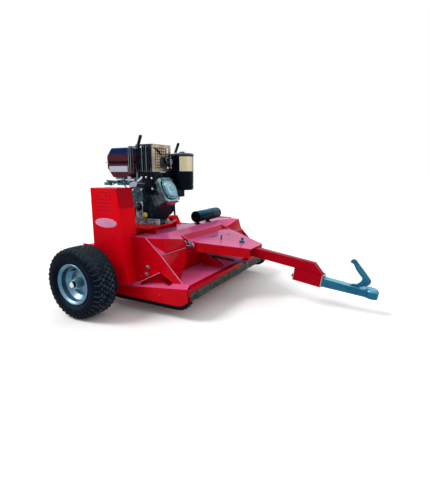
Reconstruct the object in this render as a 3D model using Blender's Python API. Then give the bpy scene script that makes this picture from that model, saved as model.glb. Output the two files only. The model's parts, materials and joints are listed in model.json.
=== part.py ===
"""Towed hammer knife mower for an all-terrain vehicle.

Metres, +Z up, +X towards the drawbar, +Y to the machine's left.
Sizes in the machine's own frame are measured from the wheel axle (X) and the ground (Z).
"""
import math

import bmesh
import bpy
from mathutils import Matrix, Vector

# Fits
GAP = 0.0003              # face to face seat between two pieces
RUN = 0.0015              # running clearance of turning pieces

# Sheet and tube
SHEET = 0.005
COVER_SHEET = 0.003
TUBE = 0.055
TUBE_WALL = 0.005

# Wheels
WHEEL_R = 0.203
TYRE_WIDTH = 0.165
RIM_FLANGE_R = 0.116
RIM_WIDTH = 0.146
RIM_SHEET = 0.005
BEAD_R = 0.1035
TRACK = 1.544             # between the middles of the two tyres
WHEEL_Y = TRACK / 2
STUB_R = 0.0125
HUB_R = 0.029

# Deck
PLATE_Y = 0.548           # outer faces of the side plates
RAIL_WIDTH = 0.030        # how far the side rails stand out
DECK_REAR_X = -0.235
REAR_DECK_Z = 0.357
RIDGE_REAR_X = 0.165
RIDGE_FRONT_X = 0.268
RIDGE_Z = 0.437
CREASE = (0.379, 0.344)
LIP_X = 0.345
LIP_Z = 0.190
HOOD_REAR_LOW_Z = 0.150
REAR_CHAMFER = 0.035
PLATE_NOSE_Z = 0.150      # where the side plates' sloping edge ends
GUSSET_FOOT_X = 0.4395
BEAM_INSET = 0.008        # from the side plates' outer faces in to the beam's ends
BEAM_HALF = PLATE_Y - BEAM_INSET
BEAM_END = 0.040          # sloping ends of the beam
FRONT_X = 0.5747          # front ends of the side plates
LIP_SETBACK = 0.030
PLATE_RISE = 0.004        # side plates stand this much above the hood
SKID_Z = 0.060
SKID_THICK = 0.022
SKID_REAR_X = -0.200
RAIL_REAR_Z = 0.112       # top of the rail's outer face at the rear
RAIL_RISE = 0.076         # how much higher it is at the front
SKID_IN = 0.010           # how far the skids reach in from the side plates' outer faces
BAR_DEPTH = 0.045
FLAP_LOW_Z = 0.100
FLAP_COUNT = 4
FLAP_THICK = 0.004
FLAP_ROD = (0.560, 0.166)
FLAP_ROD_R = 0.004

# Rotor and drive
ROTOR = (0.100, 0.226)
DRUM_R = 0.040
HAMMER_PIN_R = 0.056      # distance of the hammer pins from the rotor axis
HAMMER_TIP_R = 0.122
HAMMER_WIDTH = 0.060
HAMMER_COUNT = 4
LUG_THICK = 0.008
PIN_R = 0.007
ROTOR_SHAFT_R = 0.015
BEARING_R = 0.045
BEARING_DEPTH = 0.016
SHAFT = (0.085, 0.595)    # engine crankshaft
CRANK_R = 0.0127
DRIVE_R = 0.052
DRIVEN_R = 0.042
BELT_THICK = 0.008
BELT_WIDTH = 0.030
BELT_Y = -0.587           # mid plane of the belt
FLANGE_OVER = 0.005
FLANGE_THICK = 0.004
IDLER_R = 0.022
IDLER_Z = 0.420
TENSION = (-0.025, 0.535)
TENSION_SHAFT_R = 0.008
TENSION_LEVER_Y = 0.050
GUARD_Y = -0.625
GUARD_IN_Y = -0.500
GUARD_REAR_X = -0.053
GUARD_FOOT_X = 0.199
GUARD_WAIST = ((0.173, 0.449), (0.164, 0.605))
GUARD_TOP_X = 0.142
GUARD_LOW_Z = 0.164
GUARD_TOP_Z = 0.718
TENSION_TOP = (-0.230, 1.079)     # upper end of the belt's hand lever

# Engine
PLATFORM_Z = 0.486        # top of the platform
PLATFORM_SHEET = 0.006
PLATFORM_X = (-0.045, 0.250)
PLATFORM_Y = (-0.410, -0.105)
PLATFORM_CORNER = (0.062, 0.150)  # front far corner of the platform, cut off by this much
ENGINE_NEAR_Y = -0.365
ENGINE_FAR_Y = -0.165
CASE_X = (0.005, 0.155)
BASE_X = (-0.020, 0.232)
BASE_CORNER = (0.077, 0.132)      # front far corner of the engine's base, cut off
OIL_NECK = (0.140, 0.545)
CYLINDER = (0.120, 0.640)
CYLINDER_Y = (-0.345, -0.205)
CYLINDER_TILT = math.radians(25)
CYLINDER_SEAT = 0.068
FIN_HALF = 0.080
HEAD_END = 0.150
FINS = 7
COVER_HALF = 0.062
BLOWER_R = 0.100
BLOWER_DEPTH = 0.072
STARTER_R = 0.072
TANK_X = (-0.168, 0.055)
TANK_Y = (-0.370, -0.100)
TANK_Z = (0.772, 0.957)
TANK_SEAM_Z = 0.866
TANK_CAP = (-0.060, -0.225)
SHROUD_X = (0.057, 0.188)         # sheet box round the muffler
SHROUD_Y = (-0.350, -0.160)
SHROUD_Z = (0.807, 0.975)
OUTLET = (-0.222, 0.880)
CANISTER = (0.235, -0.100)
CANISTER_R = 0.074
CANISTER_Z = (0.690, 0.910)

# Height setting
ROCKER = (-0.290, 0.300)
ROCKER_R = 0.0175
ARM_IN = 0.117            # from the middle of a tyre in to its arm
ARM_Y = WHEEL_Y - ARM_IN
QUADRANT_REACH = 0.075    # how far the notched quadrant stands behind the rocker axis
HEIGHT_LEVER_Y = 0.566
HEIGHT_LEVER_TOP = (-0.247, 1.056)

# Hitch, in its own frame: u forward from the hinge pins, w up from them
HINGE = (0.4129, 0.3582)
DRAW_PITCH = math.radians(8.5)
PLATE_HALF = 0.262
PLATE_NOSE_HALF = 0.110
PLATE_NOSE_U = 0.295
PLATE_REAR_U = -0.042
PLATE_TOP_W = 0.026
PLATE_THICK = 0.008
FLANGE_LOW_W = -0.034
FLANGE_HEEL_R = 0.0209     # rounded rear end of the flanges about the hinge
FLANGE_SHEET = 0.006
HINGE_PIN_R = 0.008
SWING_U = 0.213
SWING_BOLT_R = 0.009
TUBE_REAR_U = 0.055
TUBE_END_U = 0.762
SOCKET_U = (0.594, 0.765)
SOCKET_HALF = 0.036
SOCKET_LOW_W = -0.111
COUPLER_TAIL_U = 0.700
COUPLER_NOSE_U = 1.040
COUPLER_TOP_W = -0.0395
COUPLER_NECK_W = -0.055    # top of the channel between the socket and the head
COUPLER_HALF = 0.029
COUPLER_NOSE_R = 0.038
COUPLER_SHOULDER = 0.016
BALL_R = 0.0255
LATCH_U = 0.950
LATCH_W = -0.064
LINK_Y = -0.075
LINK_REAR = (0.400, 0.262)
LINK_FRONT_U = 0.2915
LINK_FRONT_W = -0.0759
LINK_PIN_R = 0.006
LINK_FLOAT = 0.0018       # slot in the front lug above the pin
LINK_ROD_R = 0.007
BARREL_R = 0.010

# Document holder
HOLDER_R = 0.040
HOLDER = (0.235, 0.060, 0.492)
HOLDER_LENGTH = 0.320
HOLDER_WALL = 0.003
HOLDER_CAP = 0.120

MATERIALS = {
    "red_paint": ((0.52, 0.004, 0.010), 0.30, 0.0),
    "black_steel": ((0.012, 0.012, 0.014), 0.40, 0.0),
    "engine_black": ((0.020, 0.021, 0.024), 0.35, 0.0),
    "cast_alloy": ((0.45, 0.48, 0.50), 0.42, 1.0),
    "zinc": ((0.42, 0.52, 0.62), 0.32, 1.0),
    "steel": ((0.50, 0.50, 0.50), 0.35, 1.0),
    "rubber": ((0.018, 0.018, 0.018), 0.85, 0.0),
    "flap_rubber": ((0.050, 0.065, 0.058), 0.60, 0.0),
    "black_plastic": ((0.010, 0.012, 0.014), 0.38, 0.0),
    "yellow_plastic": ((0.60, 0.50, 0.05), 0.45, 0.0),
    "belt": ((0.015, 0.015, 0.015), 0.75, 0.0),
}


def clear_scene():
    for item in list(bpy.data.objects):
        bpy.data.objects.remove(item, do_unlink=True)


def material(name):
    found = bpy.data.materials.get(name)
    if found:
        return found
    colour, roughness, metallic = MATERIALS[name]
    found = bpy.data.materials.new(name)
    found.use_nodes = True
    shader = found.node_tree.nodes["Principled BSDF"]
    shader.inputs["Base Color"].default_value = (*colour, 1.0)
    shader.inputs["Roughness"].default_value = roughness
    shader.inputs["Metallic"].default_value = metallic
    return found


def empty(name, location=(0, 0, 0), tilt=0.0, parent=None):
    """An axis or frame: tilt turns it about Y, nose down."""
    guide = bpy.data.objects.new(name, None)
    bpy.context.collection.objects.link(guide)
    guide.location = location
    guide.rotation_euler = (0.0, tilt, 0.0)
    guide.parent = parent
    return guide


def part(name, shape, finish, parent, at=(0, 0, 0), smooth=None):
    """Make the named object from a bmesh whose coordinates are in the parent's frame."""
    bmesh.ops.recalc_face_normals(shape, faces=shape.faces)
    bmesh.ops.translate(shape, verts=shape.verts, vec=-Vector(at))
    mesh = bpy.data.meshes.new(name)
    shape.to_mesh(mesh)
    shape.free()
    if smooth:
        mesh.shade_smooth()
        mesh.set_sharp_from_angle(angle=math.radians(smooth))
    mesh.materials.append(material(finish))
    item = bpy.data.objects.new(name, mesh)
    bpy.context.collection.objects.link(item)
    item.parent = parent
    item.location = at
    return item


# Shapes

def prism(points, low, high, axis="Y"):
    """Extrude an outline: XZ along Y, XY along Z, or YZ along X."""
    orders = {"Y": lambda a, b, t: (a, t, b), "Z": lambda a, b, t: (a, b, t), "X": lambda a, b, t: (t, a, b)}
    order = orders[axis]
    shape = bmesh.new()
    first = [shape.verts.new(order(a, b, low)) for a, b in points]
    last = [shape.verts.new(order(a, b, high)) for a, b in points]
    shape.faces.new(first)
    shape.faces.new(list(reversed(last)))
    for i in range(len(points)):
        j = (i + 1) % len(points)
        shape.faces.new((first[i], last[i], last[j], first[j]))
    bmesh.ops.recalc_face_normals(shape, faces=shape.faces)
    return shape


def box(x0, x1, y0, y1, z0, z1):
    return prism([(x0, z0), (x1, z0), (x1, z1), (x0, z1)], y0, y1)


def loft(sections):
    """Join outlines with the same number of points, each a list of (x, y, z), into one solid."""
    shape = bmesh.new()
    rows = [[shape.verts.new(p) for p in section] for section in sections]
    count = len(rows[0])
    shape.faces.new(rows[0])
    shape.faces.new(list(reversed(rows[-1])))
    for a, b in zip(rows, rows[1:]):
        for i in range(count):
            j = (i + 1) % count
            shape.faces.new((a[i], b[i], b[j], a[j]))
    bmesh.ops.recalc_face_normals(shape, faces=shape.faces)
    return shape


def turned(profile, centre, axis="Y", segments=24, ring=False, phase=0.0):
    """Turn (distance along the axis, radius) points about an axis through centre.

    A ring's profile closes on itself; any other profile is capped at both ends.
    """
    frames = {"X": (Vector((1, 0, 0)), Vector((0, 1, 0)), Vector((0, 0, 1))),
              "Y": (Vector((0, 1, 0)), Vector((0, 0, 1)), Vector((1, 0, 0))),
              "Z": (Vector((0, 0, 1)), Vector((1, 0, 0)), Vector((0, 1, 0)))}
    along, side, up = frames[axis]
    shape = bmesh.new()
    rows = []
    for distance, radius in profile:
        row = []
        for k in range(segments):
            angle = 2 * math.pi * (k + phase) / segments
            spot = Vector(centre) + along * distance
            spot = spot + (side * math.cos(angle) + up * math.sin(angle)) * radius
            row.append(shape.verts.new(spot))
        rows.append(row)
    pairs = list(zip(rows, rows[1:]))
    if ring:
        pairs.append((rows[-1], rows[0]))
    else:
        shape.faces.new(rows[0])
        shape.faces.new(list(reversed(rows[-1])))
    for a, b in pairs:
        for k in range(segments):
            j = (k + 1) % segments
            shape.faces.new((a[k], a[j], b[j], b[k]))
    bmesh.ops.recalc_face_normals(shape, faces=shape.faces)
    return shape


def rod(radius, low, high, centre, axis="Y", segments=16, phase=0.0):
    """A plain cylinder: centre gives the two coordinates across the axis."""
    spots = {"Y": (centre[0], 0, centre[1]), "Z": (centre[0], centre[1], 0), "X": (0, centre[0], centre[1])}
    spot = spots[axis]
    return turned([(low, radius), (high, radius)], spot, axis, segments, phase=phase)


def evaluated(first, second, operation):
    """The Boolean of two shapes given in the same coordinates."""
    holders = []
    for shape in (first, second):
        mesh = bpy.data.meshes.new("work")
        shape.to_mesh(mesh)
        shape.free()
        holder = bpy.data.objects.new("work", mesh)
        bpy.context.collection.objects.link(holder)
        holders.append(holder)
    base, tool = holders
    step = base.modifiers.new("step", "BOOLEAN")
    step.object = tool
    step.operation = operation
    graph = bpy.context.evaluated_depsgraph_get()
    result = bmesh.new()
    result.from_mesh(base.evaluated_get(graph).to_mesh())
    bmesh.ops.remove_doubles(result, verts=result.verts, dist=0.000002)
    bmesh.ops.dissolve_degenerate(result, edges=result.edges, dist=0.000002)
    for holder in holders:
        mesh = holder.data
        bpy.data.objects.remove(holder, do_unlink=True)
        bpy.data.meshes.remove(mesh)
    return result


def weld(base, *others):
    for other in others:
        base = evaluated(base, other, "UNION")
    return base


def cut(base, *tools):
    for tool in tools:
        base = evaluated(base, tool, "DIFFERENCE")
    return base


def bevelled(shape, width, segments=1, angle=30.0):
    """Bevel every edge sharper than the angle."""
    limit = math.radians(angle)
    sharp = [e for e in shape.edges if len(e.link_faces) == 2 and e.calc_face_angle(0.0) > limit]
    bmesh.ops.bevel(shape, geom=sharp, offset=width, segments=segments, profile=0.5,
                    affect="EDGES", clamp_overlap=True)
    return shape


def bar_path(points, thick, low, high):
    """A flat bar of the given thickness that follows XZ points, from low to high in Y."""
    left = []
    right = []
    for i, (x, z) in enumerate(points):
        before = Vector(points[max(i - 1, 0)])
        after = Vector(points[min(i + 1, len(points) - 1)])
        along = (after - before).normalized()
        side = Vector((-along.y, along.x)) * (thick / 2)
        left.append((x + side.x, z + side.y))
        right.append((x - side.x, z - side.y))
    return prism(left + right[::-1], low, high)


def skid_bottom():
    rear, nose = SKID_REAR_X, FRONT_X
    return [(rear, SKID_Z + 0.030), (rear + 0.035, SKID_Z + 0.008), (rear + 0.070, SKID_Z),
            (nose - 0.0747, SKID_Z), (nose - 0.0347, SKID_Z + 0.006), (nose - 0.0087, SKID_Z + 0.020),
            (nose + 0.0093, SKID_Z + 0.044)]


def skid_top():
    top = SKID_Z + SKID_THICK
    rear, nose = SKID_REAR_X, FRONT_X
    return [(rear + 0.015, top + 0.023), (rear + 0.045, top + 0.006), (rear + 0.075, top),
            (nose - 0.0747, top), (nose - 0.0447, top + 0.0045), (nose - 0.0227, top + 0.016),
            (nose - 0.0027, top + 0.032)]


def seat_on_skid():
    """The line along which plates and rails stand on the skid."""
    return [(x, z + GAP) for x, z in skid_top()]


def hood_line():
    """Top line of the hood from its rear edge to its front lip."""
    return [(DECK_REAR_X, HOOD_REAR_LOW_Z), (DECK_REAR_X, REAR_DECK_Z - REAR_CHAMFER),
            (DECK_REAR_X + REAR_CHAMFER, REAR_DECK_Z), (RIDGE_REAR_X - 0.045, REAR_DECK_Z),
            (RIDGE_REAR_X, RIDGE_Z), (RIDGE_FRONT_X, RIDGE_Z), CREASE, (LIP_X, LIP_Z),
            (FRONT_X - LIP_SETBACK, LIP_Z)]


# Deck

def deck_shell(root):
    top = hood_line()
    inside = []
    for i, (x, z) in enumerate(top):
        before = Vector(top[max(i - 1, 0)])
        here = Vector((x, z))
        after = Vector(top[min(i + 1, len(top) - 1)])
        a = (here - before).normalized() if i > 0 else (after - here).normalized()
        b = (after - here).normalized() if i < len(top) - 1 else a
        normal_a = Vector((a.y, -a.x))
        normal_b = Vector((b.y, -b.x))
        middle = (normal_a + normal_b).normalized()
        reach = SHEET / max(middle.dot(normal_a), 0.3)
        inside.append((x + middle.x * reach, z + middle.y * reach))
    half = PLATE_Y - SHEET - GAP
    return part("deck_shell", prism(top + inside[::-1], -half, half), "red_paint", root)


def side_plate(root, side, name):
    """A side plate; the left one also carries the notched quadrant of the height lever."""
    x, z = ROCKER
    top = REAR_DECK_Z + PLATE_RISE
    ridge = RIDGE_Z + PLATE_RISE
    outline = seat_on_skid() + [(FRONT_X, skid_top()[-1][1] + 0.010), (FRONT_X, PLATE_NOSE_Z),
                                (CREASE[0] + 0.002, CREASE[1] + 0.003), (RIDGE_FRONT_X + 0.006, ridge),
                                (RIDGE_REAR_X - 0.002, ridge), (RIDGE_REAR_X - 0.047, top)]
    if side > 0:
        outline += [(DECK_REAR_X + 0.010, top), (x + 0.030, z + 0.128),
                    (x - QUADRANT_REACH + 0.005, z + 0.118), (x - QUADRANT_REACH, z + 0.080)]
    else:
        outline += [(DECK_REAR_X, top), (DECK_REAR_X, z + 0.034)]
    outline += [(x - 0.018, z + 0.030), (x - 0.034, z), (x - 0.018, z - 0.030), (DECK_REAR_X, z - 0.038),
                (DECK_REAR_X, 0.130)]
    low = side * PLATE_Y if side < 0 else PLATE_Y - SHEET
    high = low + SHEET
    plate = prism(outline, low, high)
    holes = [rod(ROCKER_R + GAP, low - 0.01, high + 0.01, ROCKER, segments=24),
             rod(ROTOR_SHAFT_R + 0.006, low - 0.01, high + 0.01, ROTOR, segments=24)]
    if side > 0:
        for k in range(5):
            angle = math.radians(82 + 8 * k)
            spot = (x + 0.135 * math.cos(angle), z + 0.135 * math.sin(angle))
            holes.append(rod(0.010, low - 0.01, high + 0.01, spot, segments=8))
    plate = weld(cut(plate, *holes), corner_gusset(side))
    return part(name, plate, "red_paint", root)


def corner_gusset(side):
    """Steep panel that closes the corner between a side plate, the hood's front wall and the lip."""
    thick = 0.004
    low = LIP_Z + 0.003
    high = CREASE[1] - 0.002
    top_x = LIP_X + (CREASE[0] - LIP_X) * (high - LIP_Z) / (CREASE[1] - LIP_Z) + thick + 0.002
    down = Vector((GUSSET_FOOT_X - top_x, low - high)).normalized()
    back = Vector((down.y, -down.x)) * thick
    outline = [(PLATE_Y - SHEET + 0.002, low), (PLATE_Y - SHEET + 0.002, high), (0.300, high - 0.006),
               (0.340, high - 0.072), (0.450, low)]
    faces = []
    for shift in (Vector((0, 0)), back):
        rows = []
        for y, z in outline:
            x = top_x + (GUSSET_FOOT_X - top_x) * (high - z) / (high - low)
            rows.append((x + shift.x, side * y, z + shift.y))
        faces.append(rows)
    return loft(faces)


def skirt_rail(root, side, name):
    """Bent sheet beside a side plate: a tapered outer face with a bevel back to the plate."""
    inner = PLATE_Y + GAP
    outer = PLATE_Y + RAIL_WIDTH
    sheet = 0.004
    sections = []
    stations = seat_on_skid()
    span = stations[-1][0] - stations[0][0]
    for x, low in stations:
        high = RAIL_REAR_Z + RAIL_RISE * (x - stations[0][0]) / span
        rows = [(inner, high + 0.022), (outer, high), (outer, low), (outer - sheet, low),
                (outer - sheet, high - 0.002), (inner, high + 0.017)]
        sections.append([(x, side * y, z) for y, z in rows])
    return part(name, loft(sections), "red_paint", root)


def skid(root, side, name):
    low, high = sorted((side * (PLATE_Y - SKID_IN), side * (PLATE_Y + RAIL_WIDTH)))
    outline = skid_bottom() + skid_top()[::-1]
    return part(name, prism(outline, low, high), "black_steel", root)


def front_bar(root):
    """Angle across the front, with the tabs and the rod that carry the flaps."""
    half = PLATE_Y + RAIL_WIDTH
    inner = PLATE_Y - SHEET - GAP
    x0 = FRONT_X + GAP
    face = box(x0, x0 + SHEET, -half, half, LIP_Z - BAR_DEPTH, LIP_Z)
    top = box(FRONT_X - LIP_SETBACK + GAP, x0 + 0.001, -inner, inner, LIP_Z - SHEET, LIP_Z)
    shape = weld(face, top)
    for k in range(FLAP_COUNT + 1):
        y = (inner - 0.004) * (2 * k / FLAP_COUNT - 1)
        x, z = FLAP_ROD
        tab = prism([(x - 0.010, LIP_Z - 0.003), (x - 0.010, z - 0.010), (x + 0.008, z - 0.010),
                     (x + 0.008, LIP_Z - 0.003)], y - 0.002, y + 0.002)
        shape = weld(shape, tab)
    shape = weld(shape, rod(FLAP_ROD_R, -inner + 0.001, inner - 0.001, FLAP_ROD, segments=10))
    return part("front_bar", shape, "red_paint", root)


def hitch_beam(root):
    """Folded beam on the hood's slope: tall at its ends, low behind the tow plate, with the pins' lugs."""
    x0, z0 = RIDGE_FRONT_X, RIDGE_Z
    x1, z1 = CREASE
    along = Vector((x1 - x0, z1 - z0)).normalized()
    up = Vector((-along.y, along.x))
    start = Vector((x0, z0)) + along * 0.006 + up * 0.0006
    end = Vector((x1, z1)) - along * 0.004 + up * 0.0006
    brow = (x0 + 0.008, z0 + 0.004)
    foot = (x1 + 0.001, z1 + 0.007)
    fronts = {BEAM_HALF - BEAM_END: (x1 - 0.006, z0 - 0.001), PLATE_HALF + 0.038: (x1 - 0.012, z0 - 0.037),
              PLATE_HALF + 0.018: (x0 + 0.066, z0 - 0.021)}
    rows = {y: [tuple(start), brow, front, foot, tuple(end)] for y, front in fronts.items()}
    thin = up * 0.004
    rows[BEAM_HALF] = [tuple(start), tuple(start + thin), tuple(start + along * 0.05 + thin),
                       tuple(end + thin), tuple(end)]
    places = sorted([-y for y in rows] + list(rows))
    shape = loft([[(x, y, z) for x, z in rows[abs(y)]] for y in places])
    hx, hz = HINGE
    lug_in = PLATE_HALF + 0.004
    for side in (-1, 1):
        low, high = sorted((side * lug_in, side * (lug_in + 0.010)))
        lug = prism([(x0 + 0.045, z0 - 0.022), (x0 + 0.064, z0 - 0.018), (hx + 0.002, hz + 0.022),
                     (hx + 0.017, hz + 0.012), (hx + 0.018, hz - 0.006), (hx + 0.010, hz - 0.016),
                     (hx - 0.006, hz - 0.0155), (hx - 0.030, hz)], low, high)
        lug = cut(lug, rod(HINGE_PIN_R + GAP, low - 0.01, high + 0.01, HINGE, segments=16))
        shape = weld(shape, lug)
    return part("hitch_beam", shape, "red_paint", root)


def link_bracket(root):
    """Two cheeks on the lip that hold the turnbuckle's rear pin."""
    x, z = LINK_REAR
    low = LIP_Z + GAP
    foot = box(x - 0.020, FRONT_X - 0.034, LINK_Y - 0.030, LINK_Y + 0.030, low, low + SHEET)
    outline = [(x - 0.020, low + 0.002), (FRONT_X - 0.040, low + 0.002), (FRONT_X - 0.060, low + 0.020),
               (x + 0.016, z + 0.006), (x + 0.006, z + 0.016), (x - 0.010, z + 0.014), (x - 0.018, z - 0.010)]
    shape = foot
    for y in (LINK_Y - 0.020, LINK_Y + 0.014):
        shape = weld(shape, prism(outline, y, y + 0.006))
    shape = weld(shape, rod(LINK_PIN_R, LINK_Y - 0.026, LINK_Y + 0.026, LINK_REAR, segments=12))
    return part("link_bracket", shape, "red_paint", root)


def hinge_pin(root, side, name):
    """Clevis pin with a head inside and a lynch clip ring outside."""
    start = PLATE_HALF - FLANGE_SHEET - GAP
    end = PLATE_HALF + 0.032
    pin = turned([(side * (start - 0.005), 0.013), (side * start, 0.013), (side * start, HINGE_PIN_R),
                  (side * end, HINGE_PIN_R)], (HINGE[0], 0, HINGE[1]), segments=12)
    y = side * (PLATE_HALF + 0.022)
    clip = turned([(y - 0.002, 0.014), (y + 0.002, 0.014), (y + 0.002, 0.0065), (y - 0.002, 0.0065)],
                  (HINGE[0], 0, HINGE[1]), segments=12, ring=True)
    return part(name, weld(pin, clip), "zinc", root)


def front_flap(root, index):
    inner = PLATE_Y - SHEET - GAP - 0.004
    pitch = 2 * inner / FLAP_COUNT
    low = -inner + index * pitch + 0.002 + RUN
    high = low + pitch - 0.004 - 2 * RUN
    x, z = FLAP_ROD
    eye = rod(FLAP_ROD_R + FLAP_THICK, low, high, FLAP_ROD, segments=12)
    blade = box(x - FLAP_THICK / 2, x + FLAP_THICK / 2, low, high, FLAP_LOW_Z, z - FLAP_ROD_R - 0.001)
    shape = weld(eye, blade)
    shape = cut(shape, rod(FLAP_ROD_R + GAP, low - 0.01, high + 0.01, FLAP_ROD, segments=10))
    axis = empty("flap_axis_%d" % (index + 1), (x, 0, z), parent=root)
    bmesh.ops.translate(shape, verts=shape.verts, vec=(-x, 0, -z))
    return part("front_flap_%d" % (index + 1), shape, "flap_rubber", axis)


# Rotor and drive

def rotor(root):
    """Drum with stub shafts, lug pairs and hammer pins, turning about its own axis."""
    end = PLATE_Y - SHEET - 0.012
    left = PLATE_Y + BEARING_DEPTH + 0.008
    right = BELT_Y - BELT_WIDTH / 2 - FLANGE_THICK - 0.006
    shape = turned([(right, ROTOR_SHAFT_R), (-end, ROTOR_SHAFT_R), (-end, DRUM_R), (end, DRUM_R),
                    (end, ROTOR_SHAFT_R), (left, ROTOR_SHAFT_R)], (0, 0, 0), segments=20)
    for index in range(HAMMER_COUNT):
        y, angle = hammer_place(index)
        spot = Vector((HAMMER_PIN_R * math.cos(angle), HAMMER_PIN_R * math.sin(angle)))
        turn = Matrix.Rotation(-angle, 4, "Y")
        for edge in (-1, 1):
            low = y + edge * (HAMMER_WIDTH / 2 + RUN + LUG_THICK / 2) - LUG_THICK / 2
            lug = prism([(DRUM_R - 0.012, -0.018), (HAMMER_PIN_R + 0.006, -0.014), (HAMMER_PIN_R + 0.014, 0.0),
                         (HAMMER_PIN_R + 0.006, 0.014), (DRUM_R - 0.012, 0.018)], low, low + LUG_THICK)
            bmesh.ops.transform(lug, matrix=turn, verts=lug.verts)
            shape = weld(shape, lug)
        reach = HAMMER_WIDTH / 2 + RUN + LUG_THICK + 0.006
        shape = weld(shape, rod(PIN_R, y - reach, y + reach, tuple(spot), segments=12))
    return part("rotor", shape, "black_steel", root)


def hammer_place(index):
    """Place along the rotor, and angle about it, of one hammer's pin."""
    usable = 2 * (PLATE_Y - 0.120)
    y = -usable / 2 + usable * (index + 0.5) / HAMMER_COUNT
    return y, math.radians((-90, 0, 180)[index % 3])


def hammer(parent, index):
    """Swinging hammer with a broad striking foot, hanging straight down from its pin."""
    y, angle = hammer_place(index)
    axis = empty("hammer_axis_%d" % (index + 1),
                 (HAMMER_PIN_R * math.cos(angle), 0, HAMMER_PIN_R * math.sin(angle)), math.radians(90), parent)
    reach = HAMMER_TIP_R - HAMMER_PIN_R
    outline = [(-0.013, -0.008), (-0.008, -0.013), (0.010, -0.012), (reach - 0.022, -0.010),
               (reach, -0.019), (reach, 0.019), (reach - 0.022, 0.010), (0.010, 0.012), (-0.008, 0.013),
               (-0.013, 0.008)]
    half = HAMMER_WIDTH / 2
    shape = prism(outline, y - half, y + half)
    shape = cut(shape, rod(PIN_R + GAP, y - half - 0.01, y + half + 0.01, (0, 0), segments=12))
    return part("hammer_%d" % (index + 1), shape, "steel", axis)


def bearing(root, side, name):
    """Flange bearing on a side plate: outside on the left, inside on the right."""
    face = PLATE_Y + GAP if side > 0 else -(PLATE_Y - SHEET - GAP)
    depth = BEARING_DEPTH if side > 0 else 0.010
    profile = [(face, BEARING_R), (face + depth * 0.5, BEARING_R), (face + depth * 0.5, BEARING_R * 0.62),
               (face + depth, BEARING_R * 0.55),
               (face + depth, ROTOR_SHAFT_R + RUN), (face, ROTOR_SHAFT_R + RUN)]
    shape = turned(profile, (ROTOR[0], 0, ROTOR[1]), segments=20, ring=True)
    return part(name, shape, "cast_alloy", root)


def pulley(name, parent, radius, bore):
    low = BELT_Y - BELT_WIDTH / 2
    high = BELT_Y + BELT_WIDTH / 2
    rim = radius - GAP
    over = radius + FLANGE_OVER
    profile = [(low - RUN - FLANGE_THICK, over), (low - RUN, over), (low - RUN, rim), (high + RUN, rim),
               (high + RUN, over), (high + RUN + FLANGE_THICK, over), (high + RUN + FLANGE_THICK, bore + GAP),
               (low - RUN - FLANGE_THICK, bore + GAP)]
    return part(name, turned(profile, (0, 0, 0), segments=24, ring=True), "cast_alloy", parent)


def belt_outline(extra):
    """Outline round both pulleys, at a distance outside their rims."""
    a = Vector(SHAFT)
    b = Vector(ROTOR)
    ra = DRIVE_R + extra
    rb = DRIVEN_R + extra
    span = (a - b).length
    lean = math.asin((rb - ra) / span)
    along = math.atan2((b - a).y, (b - a).x)
    steps = 10
    points = []
    for k in range(steps + 1):
        t = along + math.pi / 2 + lean + (math.pi - 2 * lean) * k / steps
        points.append((a.x + ra * math.cos(t), a.y + ra * math.sin(t)))
    for k in range(steps + 1):
        t = along - math.pi / 2 - lean + (math.pi + 2 * lean) * k / steps
        points.append((b.x + rb * math.cos(t), b.y + rb * math.sin(t)))
    return points


def drive_belt(root):
    low = BELT_Y - BELT_WIDTH / 2
    high = BELT_Y + BELT_WIDTH / 2
    inside = prism(belt_outline(0.0006), low - 0.01, high + 0.01)
    shape = cut(prism(belt_outline(BELT_THICK), low, high), inside)
    return part("drive_belt", shape, "belt", root)


def idler_centre():
    """The idler lies on the rear run of the belt."""
    z0, z1 = ROTOR[1], SHAFT[1]
    x0 = ROTOR[0] - DRIVEN_R - BELT_THICK
    x1 = SHAFT[0] - DRIVE_R - BELT_THICK
    x = x0 + (x1 - x0) * (IDLER_Z - z0) / (z1 - z0)
    return x - IDLER_R - 0.0012, IDLER_Z


def tension_lever(root):
    """Cross shaft with the idler arm inside the belt guard and the hand lever behind the engine."""
    axis = empty("tension_axis", (TENSION[0], 0, TENSION[1]), parent=root)
    cx, cz = idler_centre()
    x, z = cx - TENSION[0], cz - TENSION[1]
    arm_y = BELT_Y + BELT_WIDTH / 2 + RUN + FLANGE_THICK + 0.003
    shape = rod(TENSION_SHAFT_R, arm_y + 0.001, TENSION_LEVER_Y + 0.004, (0, 0), segments=14)
    arm = bar_path([(0.0, 0.014), (0, 0), (x, z), (x + 0.001, z - 0.012)], 0.022, arm_y, arm_y + 0.005)
    shape = weld(shape, arm)
    shape = weld(shape, rod(0.006, BELT_Y - 0.016, arm_y + 0.001, (x, z), segments=12))
    top = (TENSION_TOP[0] - TENSION[0], TENSION_TOP[1] - TENSION[1])
    path = [(0.006, -0.016), (-0.006, 0.016), (top[0] - 0.030, top[1] - 0.282), (top[0] - 0.057, top[1] - 0.204),
            (top[0] - 0.053, top[1] - 0.144), top]
    lever = bar_path(path, 0.013, TENSION_LEVER_Y - 0.006, TENSION_LEVER_Y + 0.006)
    shape = weld(shape, lever)
    return axis, part("tension_lever", shape, "black_steel", axis)


def idler_pulley(axis):
    cx, cz = idler_centre()
    spin = empty("idler_axis", (cx - TENSION[0], 0, cz - TENSION[1]), parent=axis)
    low = BELT_Y - BELT_WIDTH / 2 + 0.001
    high = BELT_Y + BELT_WIDTH / 2 + 0.001
    profile = [(low, IDLER_R), (high, IDLER_R), (high, 0.006 + GAP), (low, 0.006 + GAP)]
    return part("idler_pulley", turned(profile, (0, 0, 0), segments=20, ring=True), "cast_alloy", spin)


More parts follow.
